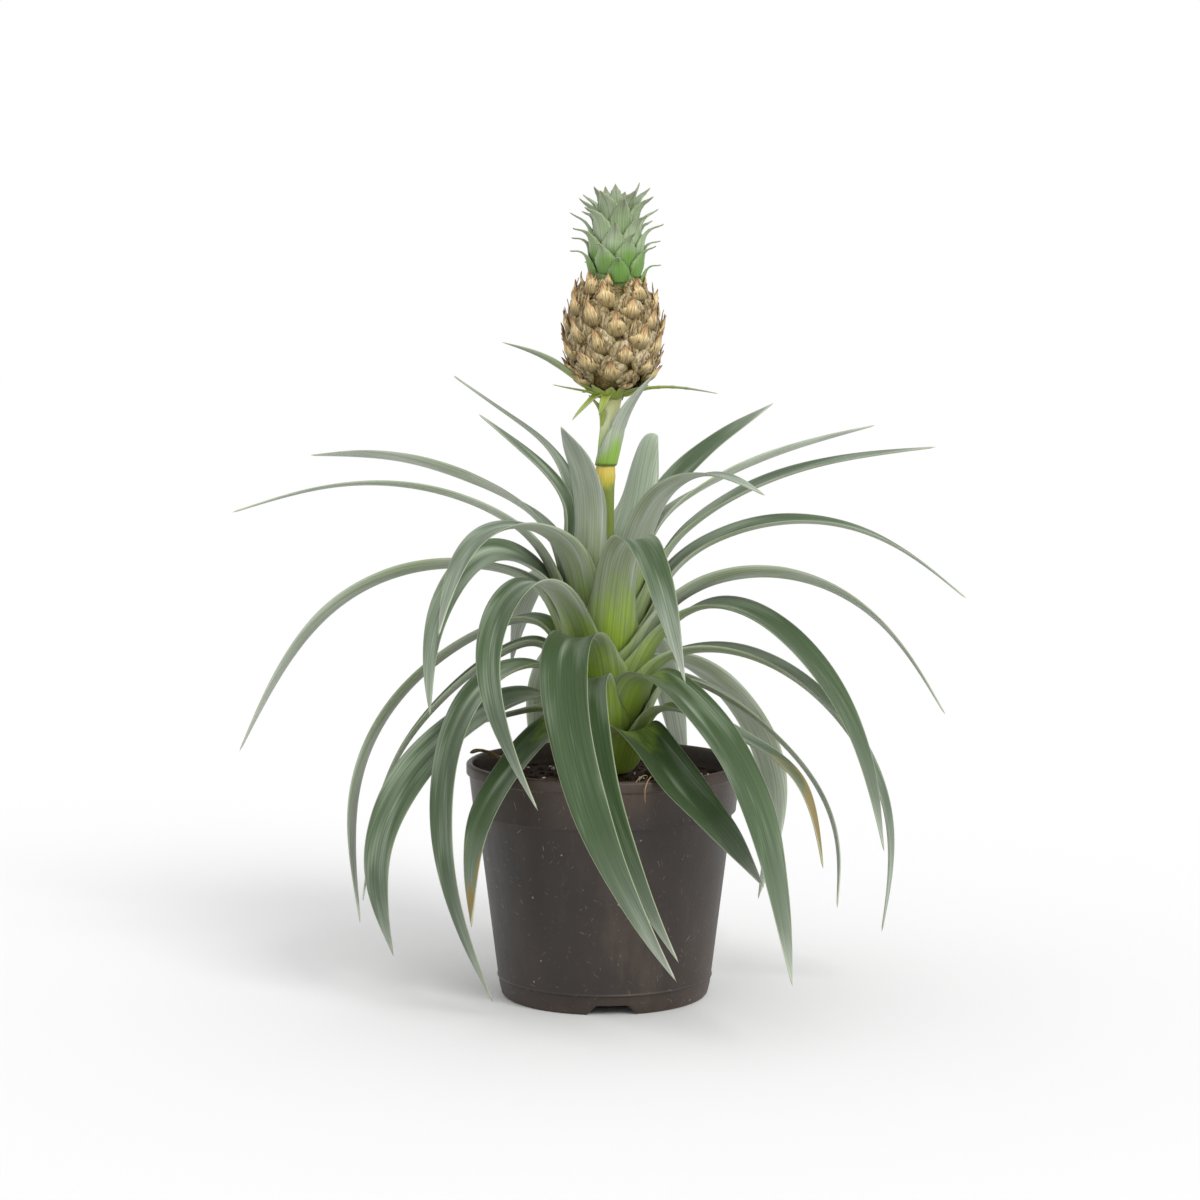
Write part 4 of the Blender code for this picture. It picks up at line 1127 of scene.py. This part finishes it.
# sizes in mm, how flat each grain is, and the parts of the soil's radius that they lie between
grainPlans = {
    "peatCrumbs": {"count": 420, "seed": 21, "sizes": (1.2, 4.2), "flatness": (0.5, 0.9),
                   "between": (0.25, 0.965), "material": dampPeat, "subdivisions": 1},
    "perliteGrains": {"count": 46, "seed": 22, "sizes": (0.9, 2.3), "flatness": (0.7, 1.0),
                      "between": (0.25, 0.97), "material": perlite, "subdivisions": 2},
    "barkChips": {"count": 34, "seed": 23, "sizes": (4.0, 9.0), "flatness": (0.18, 0.32),
                  "between": (0.4, 0.93), "material": pineBark, "subdivisions": 2},
}


def scatterGrains(name, plan):
    chance = random.Random(plan["seed"])
    bm = bmesh.new()
    for k in range(plan["count"]):
        near, far = plan["between"]
        reach = soilPlan["radius"] * math.sqrt(chance.uniform(near ** 2, far ** 2))
        turn = chance.uniform(0, 2 * math.pi)
        x, y = reach * math.cos(turn), reach * math.sin(turn)
        size = chance.uniform(*plan["sizes"])
        stretch = Vector((1, chance.uniform(0.45, 0.9), chance.uniform(*plan["flatness"])))
        spun = Matrix.Rotation(chance.uniform(0, 6.3), 3, "Z")
        spun = spun @ Matrix.Rotation(chance.uniform(-0.5, 0.5), 3, "X")
        grain = bmesh.ops.create_icosphere(bm, subdivisions=plan["subdivisions"], radius=1)["verts"]
        for vert in grain:
            rough = 1 + 0.38 * noise.noise(vert.co * 1.4 + Vector((k * 7.1, 0, 0)))
            vert.co = spun @ (vert.co * stretch * rough * size / 2)
            vert.co += Vector((x, y, soilHeight(x, y) + size * 0.12))
    finishPiece(name, bm, (plan["material"],))


# a loose dry strip that lies level across its width
def addScrap(bm, middle, half, fold, thickness, columns, tone):
    ahead = np.gradient(middle, axis=0)
    ahead /= np.linalg.norm(ahead, axis=1)[:, None]
    across = np.cross((0, 0, 1), ahead)
    across /= np.linalg.norm(across, axis=1)[:, None]
    addBlade(
        bm, middle, across, np.cross(ahead, across), half, fold, 0, thickness, columns, {"tone": tone})


# a dried scrap of leaf lies over the rim at the back, and root hairs hang over the front
def dropScraps():
    bm = bmesh.new()
    station = np.linspace(0, 1, 24)
    height = 104.5 - 5 * station + 1.5 * np.sin(station * 9)
    middle = np.stack([-58 + 24 * station, 3 + 16 * station, height], axis=1)
    half = 3.6 * np.sin(np.pi * (0.12 + 0.86 * station)) * (1 + 0.15 * np.sin(station * 25))
    addScrap(bm, middle, half, 0.9, 0.5, 8, 0.4)
    station = np.linspace(0, 1, 30)
    for outward, sag, sideways in ((1.0, 9.0, 3.0), (0.7, 5.0, -2.0)):
        middle = np.stack([
            16 + sideways * station + 2.2 * np.sin(station * 5),
            -52 - 9.0 * np.sin(station * 1.5) * outward,
            100.5 + 4.5 * np.sin(station * np.pi * 0.9) - sag * station ** 3], axis=1)
        addScrap(bm, middle, np.full(30, 0.25), 0.5, 0.4, 4, 0.8)
    finishPiece("driedScraps", bm, (paperyBract,))


laySoil()
for name, plan in grainPlans.items():
    scatterGrains(name, plan)
dropScraps()
print("soil laid")

studioPlan = {
    "cameraPlace": (-0.002, -1.250, 0.294),
    "cameraAim": (-0.002, 0.0, 0.172),
    "lens": 87.26,
    "sensor": 36.0,
    "keyPlace": (0.80, -1.1, 1.20),  # only its direction counts, as a wide soft box far off
    "keyAim": (0, 0, 0.12),
    "keyPower": 1.9,
    "keySpread": 26.0,
    "sky": (1, 1, 1, 1),
    "skyStrength": 1.0,
    "floorSize": 12,
}


# matt backdrop paper: pale grey, with no gloss at all
def layFloor():
    bm = bmesh.new()
    bmesh.ops.create_grid(bm, x_segments=1, y_segments=1, size=studioPlan["floorSize"])
    mesh = bpy.data.meshes.new("studioFloor")
    bm.to_mesh(mesh)
    bm.free()
    floor = bpy.data.objects.new("studioFloor", mesh)
    bpy.context.collection.objects.link(floor)
    paper, tree, shader = newMaterial(
        "matteBackdropPaper", {"Base Color": "#dedede", "Roughness": 0.95, "Specular IOR Level": 0.0})
    mesh.materials.append(paper)


def aimAt(thing, place, target):
    bpy.context.collection.objects.link(thing)
    thing.location = place
    thing.rotation_euler = (Vector(target) - Vector(place)).to_track_quat("-Z", "Y").to_euler()


layFloor()
scene = bpy.context.scene
scene.world = bpy.data.worlds.new("studioSky")
scene.world.use_nodes = True
sky = scene.world.node_tree.nodes["Background"]
sky.inputs["Color"].default_value = studioPlan["sky"]
sky.inputs["Strength"].default_value = studioPlan["skyStrength"]

keyData = bpy.data.lights.new("softKey", "SUN")
keyData.energy = studioPlan["keyPower"]
keyData.angle = math.radians(studioPlan["keySpread"])
aimAt(bpy.data.objects.new("softKey", keyData), studioPlan["keyPlace"], studioPlan["keyAim"])

cameraData = bpy.data.cameras.new("camera")
cameraData.lens = studioPlan["lens"]
cameraData.sensor_width = studioPlan["sensor"]
scene.camera = bpy.data.objects.new("camera", cameraData)
aimAt(scene.camera, studioPlan["cameraPlace"], studioPlan["cameraAim"])
scene.view_settings.view_transform = "Standard"
print("studio lit")
